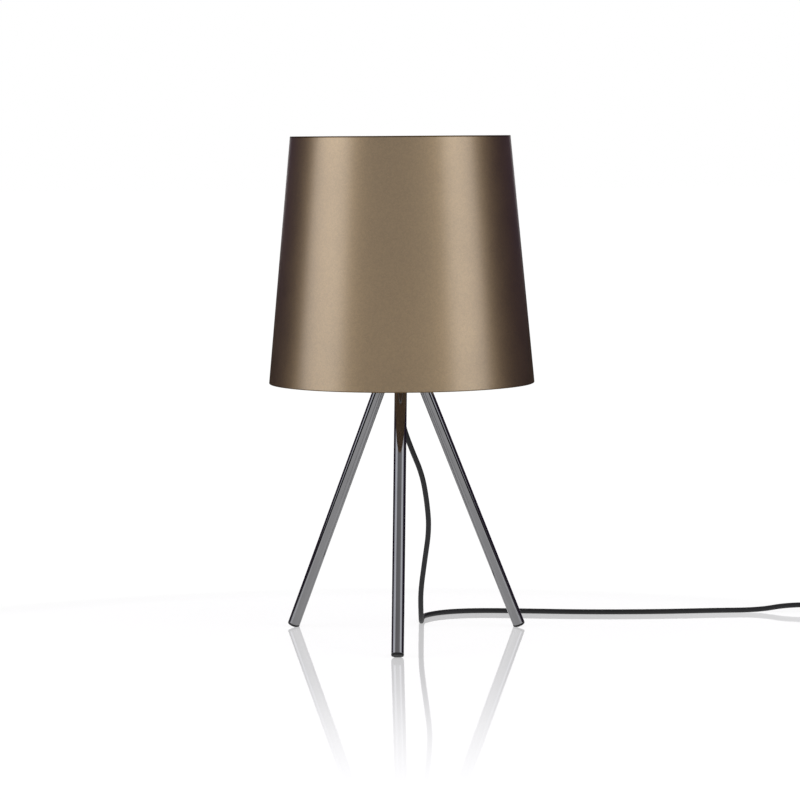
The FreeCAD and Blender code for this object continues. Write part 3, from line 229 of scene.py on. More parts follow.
@dataclass(frozen=True)
class Finish:
    """A surface finish: colour, gloss and relief, all on the object's own coordinates."""

    slot: str
    colour: Colour
    grain: Grain
    roughness: float
    metallic: float = 0.0
    colour_shift: float = 0.06
    shift_scale: float = 22.0
    roughness_shift: float = 0.05
    grain_scale: float = 900.0
    grain_height: float = 0.00002
    coat: float = 0.0
    coat_roughness: float = 0.1
    coat_ior: float = 1.5
    lining: Colour | None = None   # matt paint on faces towards the lamp's axis
    rims: Pair | None = None       # heights below and above which the edge gets a painted dark line of shade
    transmission: float = 0.0
    ior: float = 1.5

    def material(self) -> bpy.types.Material:
        """Builds the finish.

        Returns:
            A material that reads Object coordinates.
        """
        made = bpy.data.materials.new(self.slot)
        made.diffuse_color = (*self.colour, 1)
        w = Wiring.fresh(made)
        place = w.add("ShaderNodeTexCoord").outputs["Object"]
        low, high = NOISE_SPAN
        drift = w.add("ShaderNodeTexNoise", Vector=place, Scale=self.shift_scale,
                      Detail=3.0, Roughness=0.55)
        spread = w.add("ShaderNodeMapRange", Value=drift, From_Min=low, From_Max=high)
        if self.grain is Grain.FLAKE:
            flakes = w.add("ShaderNodeTexVoronoi", Vector=place,
                           Scale=self.grain_scale * FLAKE_CELL)
            each = w.add("ShaderNodeSeparateColor", Color=flakes.outputs["Color"]).outputs[1]
            spread = w.math("MULTIPLY_ADD", each, FLAKE_SHARE,
                            w.math("MULTIPLY", spread, 1 - FLAKE_SHARE))
        dark, light = [[min(c * (1 + shift), 1.0) for c in self.colour]
                       for shift in (-self.colour_shift, self.colour_shift)]
        colour, coat = w.blend(spread, dark, light), self.coat
        # painted shade: a dark line along both rims, where the lacquer is also left off
        if self.rims is not None:
            rim = self._painted_rim_shade(w, place)
            colour = w.blend(rim, colour, [c * RIM_SHADE_SHARE for c in self.colour])
            coat = w.math("MULTIPLY_ADD", rim, -self.coat, self.coat)
        shader = w.add("ShaderNodeBsdfPrincipled", Base_Color=colour, Metallic=self.metallic,
                       IOR=self.ior, Roughness=self._gloss(w, place),
                       Normal=self._relief(w, place), Coat_Weight=coat,
                       Coat_Roughness=self.coat_roughness, Coat_IOR=self.coat_ior,
                       Transmission_Weight=self.transmission)
        if self.lining is not None:
            shader = self._lined(w, place, shader)
        w.add("ShaderNodeOutputMaterial", Surface=shader)
        return made

    def _painted_rim_shade(self, w: Wiring, place: Socket) -> Socket:
        """Finds the narrow edges at the two rims that get a painted line of shade.

        Args:
            w: the material's wiring.
            place: Object coordinates.

        Returns:
            1 on the rims, 0 elsewhere.
        """
        low, high = self.rims
        height = w.add("ShaderNodeSeparateXYZ", Vector=place).outputs["Z"]
        return w.math("ADD", w.math("LESS_THAN", height, low),
                      w.math("GREATER_THAN", height, high))

    def _lined(self, w: Wiring, place: Socket, outside: Node) -> Node:
        """Gives the faces towards the lamp's axis the lining's paint.

        Args:
            w: the material's wiring.
            place: Object coordinates.
            outside: the shader of the other faces.

        Returns:
            The shader node to show.
        """
        level = w.add("ShaderNodeVectorMath", {"operation": "MULTIPLY"}, place,
                      (1.0, 1.0, 0.0))
        normal = w.add("ShaderNodeNewGeometry").outputs["Normal"]
        along = w.add("ShaderNodeVectorMath", {"operation": "DOT_PRODUCT"}, level, normal)
        inside = w.math("LESS_THAN", along.outputs["Value"], 0.0)
        mottle = w.add("ShaderNodeTexNoise", Vector=place, Scale=LINING_SCALE, Detail=3.0)
        dark, light = [[c * share for c in self.lining] for share in LINING_SHADES]
        drift, least = LINING_ROUGHNESS
        matt = w.add("ShaderNodeBsdfPrincipled", Base_Color=w.blend(mottle, dark, light),
                     Roughness=w.math("MULTIPLY_ADD", mottle, drift, least),
                     Normal=self._relief(w, place))
        return w.add("ShaderNodeMixShader", {}, inside, outside, matt)

    def _gloss(self, w: Wiring, place: Socket) -> Socket:
        """Roughness that drifts a little over the surface.

        Args:
            w: the material's wiring.
            place: Object coordinates.

        Returns:
            The roughness output.
        """
        low, high = NOISE_SPAN
        cloud = w.add("ShaderNodeTexNoise", Vector=place,
                      Scale=self.shift_scale * GLOSS_SCALE, Detail=4.0)
        return w.add("ShaderNodeMapRange", Value=cloud, From_Min=low, From_Max=high,
                     To_Min=max(self.roughness - self.roughness_shift, 0.0),
                     To_Max=self.roughness + self.roughness_shift).outputs[0]

    def _relief(self, w: Wiring, place: Socket) -> Socket:
        """The finish's fine relief as a bump.

        Args:
            w: the material's wiring.
            place: Object coordinates.

        Returns:
            The normal output.
        """
        if self.grain is Grain.FLAKE:
            cells = w.add("ShaderNodeTexVoronoi", Vector=place, Scale=self.grain_scale)
            height = w.add("ShaderNodeSeparateColor", Color=cells.outputs["Color"]).outputs[0]
        elif self.grain is Grain.DRAWN:
            flat = w.add("ShaderNodeMapping", Vector=place, Scale=(1.0, 1.0, LINE_SHARE))
            height = w.add("ShaderNodeTexNoise", Vector=flat, Scale=self.grain_scale,
                           Detail=2.0).outputs[0]
        elif self.grain is Grain.MOULDED:
            cells = w.add("ShaderNodeTexVoronoi", {"feature": "SMOOTH_F1"}, Vector=place,
                          Scale=self.grain_scale)
            height = cells.outputs["Distance"]
        else:
            height = w.add("ShaderNodeTexNoise", Vector=place, Scale=self.grain_scale,
                           Detail=5.0, Roughness=0.6).outputs[0]
        bump = w.add("ShaderNodeBump", Height=height, Distance=self.grain_height)
        w.feed(bump, "Strength", 1.0)
        return bump.outputs[0]


FINISHES = (
    Finish("shade_bronze", (0.424, 0.289, 0.137), Grain.FLAKE, 0.41, metallic=1.0,
           colour_shift=0.14, shift_scale=9.0, roughness_shift=0.02, grain_scale=1500.0,
           grain_height=0.000030, coat=1.0, coat_roughness=0.29, coat_ior=2.0,
           # rims: heights of the painted dark line of shade at both edges
           lining=(0.55, 0.39, 0.25), rims=(0.2910, 0.5666)),
    Finish("black_nickel", (0.219, 0.219, 0.223), Grain.POLISHED, 0.05, metallic=1.0,
           colour_shift=0.04, shift_scale=30.0, roughness_shift=0.01, grain_scale=5.0,
           grain_height=0.000002),
    Finish("black_rubber", (0.012, 0.012, 0.0125), Grain.MATTE, 0.66, grain_scale=1400.0,
           grain_height=0.00004, roughness_shift=0.08, colour_shift=0.15, ior=1.35),
    Finish("black_plastic", (0.032, 0.032, 0.034), Grain.MOULDED, 0.42, grain_scale=1800.0,
           grain_height=0.00003),
    Finish("cord_black", (0.016, 0.016, 0.017), Grain.MATTE, 0.54, grain_scale=240.0,
           grain_height=0.00002, colour_shift=0.10, ior=1.36),
    Finish("zinc_steel", (0.60, 0.60, 0.585), Grain.DRAWN, 0.32, metallic=1.0,
           colour_shift=0.10, shift_scale=60.0, grain_scale=1500.0),
    Finish("brass", (0.74, 0.56, 0.29), Grain.DRAWN, 0.24, metallic=1.0, colour_shift=0.07,
           shift_scale=70.0, grain_scale=1600.0),
    Finish("ceramic", (0.86, 0.85, 0.81), Grain.GLAZED, 0.20, colour_shift=0.03,
           grain_scale=120.0, grain_height=0.00005, coat=0.5, coat_roughness=0.05),
    Finish("bulb_glass", (0.97, 0.975, 0.97), Grain.POLISHED, 0.012, colour_shift=0.008,
           roughness_shift=0.006, grain_scale=25.0, grain_height=0.00005, transmission=1.0,
           ior=1.46),
    Finish("bulb_metal", (0.71, 0.71, 0.71), Grain.DRAWN, 0.28, metallic=1.0,
           shift_scale=80.0, grain_scale=1300.0),
    Finish("black_glass", (0.018, 0.018, 0.024), Grain.GLAZED, 0.08, grain_scale=200.0),
    Finish("filament", (0.86, 0.66, 0.22), Grain.MATTE, 0.55, grain_scale=2500.0,
           colour_shift=0.08),
    Finish("wire_brown", (0.22, 0.105, 0.05), Grain.MATTE, 0.45, grain_scale=900.0),
    Finish("wire_blue", (0.06, 0.17, 0.44), Grain.MATTE, 0.45, grain_scale=900.0),
    Finish("tie_black", (0.026, 0.026, 0.027), Grain.MATTE, 0.85, grain_scale=1100.0,
           grain_height=0.00012, colour_shift=0.25),
)


class Paint:
    """The finishes of the lamp, one material for each slot."""

    def __init__(self) -> None:
        """Builds every finish."""
        self.by_slot = {finish.slot: finish.material() for finish in FINISHES}

    def coat(self, piece: bpy.types.Object, slot: str) -> bpy.types.Object:
        """Gives a new piece its finish.

        Args:
            piece: the piece.
            slot: the record's slot.

        Returns:
            The piece.
        """
        piece.data.materials.clear()
        piece.data.materials.append(self.by_slot[slot])
        return piece

    def dress_solids(self, nodes: dict, record: dict) -> None:
        """Puts the finishes on the solids that show.

        Args:
            nodes: the frame's nodes.
            record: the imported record.
        """
        slots = {part["node"]: part["material_slot"] for part in record["subparts"]}
        for name, solid in nodes.items():
            for held in solid.material_slots:
                held.material = self.by_slot[slots[name]]


# ---- geometry trees
class GeometryTree:
    """A Geometry Nodes tree with named inputs, put on an object and turned into a mesh."""

    def __init__(self, name: str, inputs: dict[str, str]) -> None:
        """Starts the tree.

        Args:
            name: the tree's name.
            inputs: input names with their socket types, besides the material.
        """
        self.tree = bpy.data.node_groups.new(name, "GeometryNodeTree")
        face = self.tree.interface
        face.new_socket("Geometry", in_out="INPUT", socket_type="NodeSocketGeometry")
        self.identifiers = {}
        for label, kind in {**inputs, "Material": "NodeSocketMaterial"}.items():
            item = face.new_socket(label, in_out="INPUT", socket_type=kind)
            self.identifiers[label] = item.identifier
        face.new_socket("Geometry", in_out="OUTPUT", socket_type="NodeSocketGeometry")
        self.w = Wiring(self.tree)
        self.given = self.tree.nodes.new("NodeGroupInput")

    def close(self, geometry: Socket) -> None:
        """Ends the tree in Realize Instances and Set Material.

        Args:
            geometry: the geometry to end with.
        """
        real = self.w.add("GeometryNodeRealizeInstances", Geometry=geometry)
        dressed = self.w.add("GeometryNodeSetMaterial", Geometry=real,
                             Material=self.given.outputs["Material"])
        out = self.tree.nodes.new("NodeGroupOutput")
        self.tree.links.new(dressed.outputs[0], out.inputs[0])

    def mesh(self, name: str, base: bpy.types.Mesh, material: bpy.types.Material,
             values: dict[str, object]) -> bpy.types.Object:
        """Runs the tree on a base mesh and keeps the result as a plain mesh.

        Args:
            name: the piece's name.
            base: the mesh that the modifier works on.
            material: its finish.
            values: the named inputs' values, besides the material.

        Returns:
            The finished piece, at the origin, without a modifier.
        """
        piece = placed(name, base)
        step = piece.modifiers.new(name, "NODES")
        step.node_group = self.tree
        for label, value in {**values, "Material": material}.items():
            step[self.identifiers[label]] = value
        bpy.context.view_layer.update()
        graph = bpy.context.evaluated_depsgraph_get()
        made = bpy.data.meshes.new_from_object(piece.evaluated_get(graph), depsgraph=graph)
        piece.modifiers.clear()
        piece.data = made
        made.name = name
        Meshes.tidy(made)
        return piece


class Meshes:
    """Small helpers on meshes and outlines."""

    SAME = 2e-7      # metres between points that are one
    NOTHING = 1e-8   # length of an edge that is nothing
    SHARP = 50.0     # angle in degrees above which an edge stays sharp
    MOST = 0.499     # share of a run that one rounded corner may take
    LONG = 5         # gaps in a run that gets points near its ends

    @staticmethod
    def outline(name: str, points: Sequence[Pair]) -> bpy.types.Mesh:
        """A closed outline of (radius, height) as a mesh of edges.

        Args:
            name: the mesh's name.
            points: the outline's corners in order.

        Returns:
            The mesh.
        """
        mesh = bpy.data.meshes.new(name)
        count = len(points)
        mesh.from_pydata([(r, 0.0, z) for r, z in points],
                         [(i, (i + 1) % count) for i in range(count)], [])
        return mesh

    @staticmethod
    def tidy(mesh: bpy.types.Mesh) -> None:
        """Merges doubles, turns the faces outwards and shades them smooth.

        Args:
            mesh: the mesh.
        """
        work = bmesh.new()
        work.from_mesh(mesh)
        bmesh.ops.remove_doubles(work, verts=work.verts, dist=Meshes.SAME)
        bmesh.ops.dissolve_degenerate(work, edges=work.edges, dist=Meshes.NOTHING)
        spare = [edge for edge in work.edges if not edge.link_faces]
        bmesh.ops.delete(work, geom=spare, context="EDGES")
        bmesh.ops.recalc_face_normals(work, faces=work.faces)
        work.to_mesh(mesh)
        work.free()
        mesh.shade_smooth()
        mesh.set_sharp_from_angle(angle=math.radians(Meshes.SHARP))

    @staticmethod
    def rounded(points: Sequence[Pair], radii: Sequence[float], steps: int = 6) -> list[Pair]:
        """Rounds the corners of a closed outline.

        Args:
            points: the corners in order.
            radii: each corner's radius; 0 keeps it sharp.
            steps: points on each arc.

        Returns:
            The outline with its arcs.
        """
        made = []
        count = len(points)
        for i, (corner, radius) in enumerate(zip(points, radii)):
            here = Vector(corner)
            back = Vector(points[i - 1]) - here
            on = Vector(points[(i + 1) % count]) - here
            if radius <= 0:
                made.append(corner)
                continue
            turn = back.angle(on)
            reach = min(radius / math.tan(turn / 2), Meshes.MOST * back.length,
                        Meshes.MOST * on.length)
            size = reach * math.tan(turn / 2)
            inward = (back.normalized() + on.normalized()).normalized()
            centre = here + inward * (size / math.sin(turn / 2))
            first = here + back.normalized() * reach - centre
            last = here + on.normalized() * reach - centre
            sweep = first.angle_signed(last)
            for k in range(steps + 1):
                arm = first.copy()
                arm.rotate(Matrix.Rotation(-sweep * k / steps, 2))
                made.append(tuple(centre + arm))
        return made

    @staticmethod
    def block(inner: float, outer: float, low: float, high: float, rounding: Pair,
              steps: int = 6) -> list[Pair]:
        """A rectangle with rounded inner and outer corners, closed."""
        near, far = rounding
        return Meshes.rounded([(inner, low), (outer, low), (outer, high), (inner, high)],
                              [near, far, far, near], steps)

    @staticmethod
    def wrapped(centres: Sequence[Pair], radius: float, steps: int) -> list[Pair]:
        """A tight closed line round equal circles.

        Args:
            centres: the circles' centres, anticlockwise.
            radius: the circles' radius.
            steps: runs on each arc.

        Returns:
            The line's points.
        """
        made = []
        for i, centre in enumerate(centres):
            back = Vector(centre) - Vector(centres[i - 1])
            on = Vector(centres[(i + 1) % len(centres)]) - Vector(centre)
            start = math.degrees(math.atan2(back.y, back.x)) - 90
            sweep = (math.degrees(math.atan2(on.y, on.x)) - 90 - start) % 360
            made += Meshes.arc(centre, radius, start, start + sweep, steps)
        return made

    @staticmethod
    def held(points: Sequence[Pair], gap: float = 0.0008) -> list[Pair]:
        """Adds a point near each end of the long runs, so that smooth shading stays true.

        Args:
            points: a closed outline.
            gap: distance of the added points from the ends.

        Returns:
            The outline with the added points.
        """
        made = []
        for here, there in zip(points, [*points[1:], points[0]]):
            made.append(here)
            run = Vector(there) - Vector(here)
            if run.length > Meshes.LONG * gap:
                step = run.normalized() * gap
                made.append(tuple(Vector(here) + step))
                made.append(tuple(Vector(there) - step))
        return made

    @staticmethod
    def arc(centre: Pair, radius: float, start: float, end: float, steps: int) -> list[Pair]:
        """Points of an arc with both its ends; degrees, 0 along the radius, 90 up."""
        angles = [math.radians(start + (end - start) * k / steps) for k in range(steps + 1)]
        return [(centre[0] + radius * math.cos(a), centre[1] + radius * math.sin(a))
                for a in angles]


class Turning(GeometryTree):
    """Revolves a closed outline about the lamp's axis."""

    HUB = 0.0005  # radius of the guide circle

    def __init__(self) -> None:
        """Builds the tree."""
        super().__init__("turning", {"Segments": "NodeSocketInt"})
        w = self.w
        line = w.add("GeometryNodeMeshToCurve", Mesh=self.given.outputs["Geometry"])
        flat = w.add("GeometryNodeTransform", Geometry=line, Rotation=(math.pi / 2, 0, 0))
        inset = w.add("GeometryNodeTransform", Geometry=flat, Translation=(-self.HUB, 0, 0))
        circle = w.add("GeometryNodeCurvePrimitiveCircle", Radius=self.HUB,
                       Resolution=self.given.outputs["Segments"])
        upright = w.add("GeometryNodeSetCurveNormal", {"mode": "Z_UP"}, Curve=circle)
        swept = w.add("GeometryNodeCurveToMesh", Curve=upright, Profile_Curve=inset)
        self.close(swept.outputs[0])

    def piece(self, name: str, outline: Sequence[Pair], segments: int,
              material: bpy.types.Material) -> bpy.types.Object:
        """Turns a closed outline of (radius, height) into one piece."""
        base = Meshes.outline(name + "_outline", outline)
        return self.mesh(name, base, material, {"Segments": segments})


class Fluting(GeometryTree):
    """Turns a ring and presses grooves at equal steps into its rim."""

    SKIN = 0.003    # how far in from the rim the grooves press
    NARROW = 3.0    # a higher power makes the grooves narrower

    def __init__(self) -> None:
        """Builds the tree."""
        super().__init__("fluting", {"Count": "NodeSocketInt", "Rim radius": "NodeSocketFloat",
                                     "Depth": "NodeSocketFloat"})
        w = self.w
        given = self.given.outputs
        here = w.add("GeometryNodeInputPosition")
        parts = w.add("ShaderNodeSeparateXYZ", Vector=here)
        x, y = parts.outputs["X"], parts.outputs["Y"]
        angle = w.math("ARCTAN2", y, x)
        wave = w.math("COSINE", w.math("MULTIPLY", angle, given["Count"]))
        groove = w.math("POWER", w.math("MULTIPLY_ADD", wave, 0.5, 0.5), self.NARROW)
        radius = w.math("SQRT", w.math("ADD", w.math("MULTIPLY", x, x),
                                       w.math("MULTIPLY", y, y)))
        skin = w.math("SUBTRACT", given["Rim radius"], self.SKIN)
        inset = w.math("DIVIDE", w.math("SUBTRACT", radius, skin), self.SKIN)
        near = w.math("MINIMUM", w.math("MAXIMUM", inset, 0.0), 1.0)
        press = w.math("MULTIPLY", w.math("MULTIPLY", given["Depth"], groove), near)
        scale = w.math("DIVIDE", w.math("SUBTRACT", radius, press), radius)
        moved = w.add("ShaderNodeCombineXYZ", X=w.math("MULTIPLY", x, scale),
                      Y=w.math("MULTIPLY", y, scale), Z=parts.outputs["Z"])
        pressed = w.add("GeometryNodeSetPosition", Geometry=given["Geometry"], Position=moved)
        self.close(pressed.outputs[0])


class Spread(GeometryTree):
    """Repeats a mesh at equal turns about the lamp's axis."""

    def __init__(self) -> None:
        """Builds the tree."""
        super().__init__("spread", {"Count": "NodeSocketInt", "First turn": "NodeSocketFloat"})
        w = self.w
        count = self.given.outputs["Count"]
        dots = w.add("GeometryNodePoints", Count=count)
        place = w.add("GeometryNodeInputIndex")
        step = w.math("DIVIDE", 2 * math.pi, count)
        turn = w.math("ADD", w.math("MULTIPLY", place.outputs[0], step),
                      self.given.outputs["First turn"])
        facing = w.add("ShaderNodeCombineXYZ", Z=turn)
        copies = w.add("GeometryNodeInstanceOnPoints", Points=dots,
                       Instance=self.given.outputs["Geometry"])
        as_turn = w.add("FunctionNodeEulerToRotation", Euler=facing)
        w.feed(copies, "Rotation", as_turn)
        self.close(copies.outputs[0])


class Workshop:
    """What the sub-assemblies share: the finishes, the geometry trees and their use."""

    def __init__(self) -> None:
        """Builds the shared things."""
        self.paint = Paint()
        self.turning = Turning()
        self.spread = Spread()
        self.fluting = Fluting()

    def turned_mesh(self, name: str, outline: Sequence[Pair], segments: int,
                    place: Matrix) -> bpy.types.Mesh:
        """A turned mesh moved to a place, for use as a base.

        Args:
            name: the mesh's name.
            outline: closed outline of (radius, height).
            segments: facets round.
            place: the matrix that moves it.

        Returns:
            The mesh.
        """
        piece = self.turning.piece(name, outline, segments, self.paint.by_slot["zinc_steel"])
        mesh = piece.data
        mesh.transform(place)
        bpy.data.objects.remove(piece)
        return mesh

    def turned(self, name: str, outline: Sequence[Pair], segments: int, body: str, slot: str,
               node: str) -> None:
        """Turns an outline into a piece on a body, in place of a node."""
        piece = self.turning.piece(name, outline, segments, self.paint.by_slot[slot])
        self.stands_for(piece, body, slot, [node])

    def repeated(self, name: str, base: bpy.types.Mesh, count: int, first_turn: float,
                 body: str, slot: str, nodes: Iterable[str]) -> None:
        """Repeats a mesh at equal turns about the lamp's axis, in place of solids.

        Args:
            name: the piece's name.
            base: the mesh, in its place at turn 0, along +X.
            count: how many.
            first_turn: angle of the first one in degrees.
            body: the body it rides on.
            slot: the record's slot.
            nodes: the nodes it stands for.
        """
        values = {"Count": count, "First turn": math.radians(first_turn)}
        piece = self.spread.mesh(name, base, self.paint.by_slot[slot], values)
        self.stands_for(piece, body, slot, nodes)

    def stands_for(self, piece: bpy.types.Object, body: str, slot: str,
                   nodes: Iterable[str]) -> None:
        """Rides a piece on its body in place of solids.

        Args:
            piece: the new piece.
            body: the body it rides on.
            slot: the record's slot.
            nodes: the nodes it stands for.
        """
        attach(piece, body)
        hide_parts(*nodes)
        self.paint.coat(piece, slot)
        LOG.info("%s: %d faces, for %s", piece.name,
                 len(getattr(piece.data, "polygons", ())), ", ".join(nodes))


# ---- shade
@dataclass
class Shade:
    """The tapered sheet-metal shade with its rolled rims, and the wire work that holds it."""

    bottom_radius: float = 0.150
    top_radius: float = 0.124
    bottom_z: float = 0.2901
    top_z: float = 0.5681
    wall: float = 0.0008
    hem: float = 0.0017
    hem_height: float = 0.0045
    rim_round: float = 0.0008
    lip_round: float = 0.00048
    rim_steps: int = 7
    segments: int = 288
    wire: float = 0.0020           # radius of the hoop's and the spokes' wire
    wire_round: float = 0.0004
    wire_segments: int = 32
    hoop_radius: float = 0.14058
    hoop_segments: int = 24        # round the wire
    carrier_z: float = 0.3597
    spoke_start: float = 0.0271
    spoke_end: float = 0.1388
    spoke_count: int = 3
    first_spoke: float = 90.0
    ring_inner: float = 0.0197
    ring_outer: float = 0.0270
    ring_thickness: float = 0.0030
    ring_round: Pair = (0.0003, 0.0006)   # of the inner and of the outer corners
    ring_steps: int = 4
    ring_segments: int = 128

    def build(self, shop: Workshop) -> None:
        """Builds the shade and its wire work.

        Args:
            shop: the shared workshop.
        """
        shop.turned("shade_wall", self.outline(), self.segments, "lamp", "shade_bronze",
                    "shade")
        count = self.hoop_segments
        wire = Meshes.arc((self.hoop_radius, self.carrier_z), self.wire, 0,
                          360 - 360 / count, count - 1)
        shop.turned("hoop", wire, self.segments, "lamp", "zinc_steel", "shade_hoop")
        section = Meshes.block(0, self.wire, self.spoke_start, self.spoke_end,
                               (0, self.wire_round))
        rod = shop.turned_mesh("rod", section, self.wire_segments,
                               Matrix.Translation((0, 0, self.carrier_z))
                               @ Matrix.Rotation(math.pi / 2, 4, "Y"))
        shop.repeated("spokes", rod, self.spoke_count, self.first_spoke, "lamp", "zinc_steel",
                      ["shade_spokes"])
        half = self.ring_thickness / 2
        flat = Meshes.block(self.ring_inner, self.ring_outer, self.carrier_z - half,
                            self.carrier_z + half, self.ring_round, self.ring_steps)
        shop.turned("carrier", flat, self.ring_segments, "lamp", "zinc_steel", "carrier_ring")

    def outline(self) -> list[Pair]:
        """The wall's section: a thin sheet, folded inwards into a narrow hem at each rim.

        Returns:
            The closed outline.
        """
        def out(z: float) -> float:
            """Outer radius at a height."""
            share = (z - self.bottom_z) / (self.top_z - self.bottom_z)
            return self.bottom_radius + (self.top_radius - self.bottom_radius) * share

        low, high = self.bottom_z, self.top_z
        fold_low, fold_high = low + self.hem_height, high - self.hem_height
        step = self.hem - self.wall
        corners = [
            (out(low), low), (out(high), high), (out(high) - self.hem, high),
            (out(fold_high) - self.hem, fold_high),
            (out(fold_high) - self.wall, fold_high - step),
            (out(fold_low) - self.wall, fold_low + step),
            (out(fold_low) - self.hem, fold_low), (out(low) - self.hem, low),
        ]
        rim, lip = self.rim_round, self.lip_round
        radii = [rim, rim, lip, 0, 0, 0, 0, lip]
        return Meshes.held(Meshes.rounded(corners, radii, self.rim_steps))


# ---- legs
@dataclass
class Legs:
    """The tubes of the three splayed legs."""

    count: int = 3
    first_turn: float = -90.0
    diameter: float = 0.014
    wall: float = 0.0015
    length: float = 0.3315
    tilt: float = 23.5
    foot_radius: float = 0.151524
    foot_z: float = 0.00201
    tip_thickness: float = 0.0025
    rim_round: float = 0.0004
    segments: int = 96

    def build(self, shop: Workshop) -> None:
        """Builds the legs.

        Args:
            shop: the shared workshop.
        """
        half, low = self.diameter / 2, self.tip_thickness
        section = Meshes.block(half - self.wall, half, low, low + self.length,
                               (self.rim_round, self.rim_round))
        place = (Matrix.Translation((self.foot_radius, 0, self.foot_z))
                 @ Matrix.Rotation(math.radians(-self.tilt), 4, "Y"))
        tube = shop.turned_mesh("leg_tube", Meshes.held(section), self.segments, place)
        shop.repeated("leg_tubes", tube, self.count, self.first_turn, "lamp", "black_nickel",
                      ["leg_front", "leg_right", "leg_left"])


# ---- lampholder and bulb
@dataclass
class RingNuts:
    """The two grooved nuts that clamp the shade's carrier."""

    rim_radius: float = 0.0260
    bore: float = 0.0196
    height: float = 0.0060
    lower_z: float = 0.3521
    upper_z: float = 0.3613
    grooves: int = 12
    groove_depth: float = 0.0008
    rounding: Pair = (0.0004, 0.0010)   # of the corners at the bore and at the rim
    corner_steps: int = 5
    segments: int = 288

    def build(self, shop: Workshop) -> None:
        """Builds both nuts.

        Args:
            shop: the shared workshop.
        """
        for name, node, low in (("nut_below", "ring_nut_lower", self.lower_z),
                                ("nut_above", "ring_nut_upper", self.upper_z)):
            section = Meshes.block(self.bore, self.rim_radius, low, low + self.height,
                                   self.rounding, self.corner_steps)
            blank = shop.turned_mesh(name, Meshes.held(section), self.segments,
                                     Matrix.Identity(4))
            nut = shop.fluting.mesh(name, blank, shop.paint.by_slot["black_plastic"], {
                "Count": self.grooves, "Rim radius": self.rim_radius,
                "Depth": self.groove_depth})
            shop.stands_for(nut, "lamp", "black_plastic", [node])


@dataclass
class Bulb:
    """The globe bulb's blown glass and its filament rods."""

    foot_z: float = 0.3676
    rim_z: float = 0.3777
    globe_z: float = 0.4266
    globe_radius: float = 0.0300
    glass: float = 0.0008
    neck_radius: float = 0.01175
    shoulder_radius: float = 0.0121
    rim_step: float = 0.0002
    neck_angle: float = 40.0
    neck_pull: float = 0.42        # how far the neck's curve keeps its end directions
    neck_steps: int = 14
    globe_steps: int = 40
    segments: int = 160
    rod_count: int = 4
    rod_circle: float = 0.0060
    rod_radius: float = 0.0008
    rod_rounding: float = 0.0006
    rod_low: float = 0.4063
    rod_high: float = 0.4403
    rod_segments: int = 20

    def build(self, shop: Workshop) -> None:
        """Builds the glass and the rods.

        Args:
            shop: the shared workshop.
        """
        outline = [*self.wall(0.0), *reversed(self.wall(self.glass))]
        shop.turned("globe", outline, self.segments, "bulb", "bulb_glass", "bulb_globe")
        section = Meshes.block(0, self.rod_radius, self.rod_low, self.rod_high,
                               (0, self.rod_rounding))
        rod = shop.turned_mesh("glow_rod", section, self.rod_segments,
                               Matrix.Translation((self.rod_circle, 0, 0)))
        shop.repeated("glow_rods", rod, self.rod_count, 0.0, "bulb", "filament",
                      ["bulb_filaments"])

    def wall(self, inset: float) -> list[Pair]:
        """The glass's line from the axis at the foot, round the globe, to the axis above.

        Args:
            inset: distance inside the outer face.

        Returns:
            The line's points.
        """
        neck, shoulder = self.neck_radius - inset, self.shoulder_radius - inset
        radius = self.globe_radius - inset
        angle = math.radians(self.neck_angle)
        start = Vector((radius * math.cos(angle), self.globe_z - radius * math.sin(angle)))
        rim = Vector((shoulder, self.rim_z + self.rim_step + inset))
        pull = (start - rim).length * self.neck_pull
        leave = rim + Vector((0, 1)) * pull
        arrive = start - Vector((math.sin(angle), math.cos(angle))) * pull
        line = [(0.0, self.foot_z + inset), (neck, self.foot_z + inset),
                (neck, self.rim_z + inset)]
        for k in range(self.neck_steps):
            t = k / self.neck_steps
            spot = (rim * (1 - t) ** 3 + leave * 3 * t * (1 - t) ** 2
                    + arrive * 3 * t ** 2 * (1 - t) + start * t ** 3)
            line.append(tuple(spot))
        globe = Meshes.arc((0, self.globe_z), radius, -self.neck_angle, 90, self.globe_steps)
        globe[-1] = (0.0, self.globe_z + radius)
        return line + globe


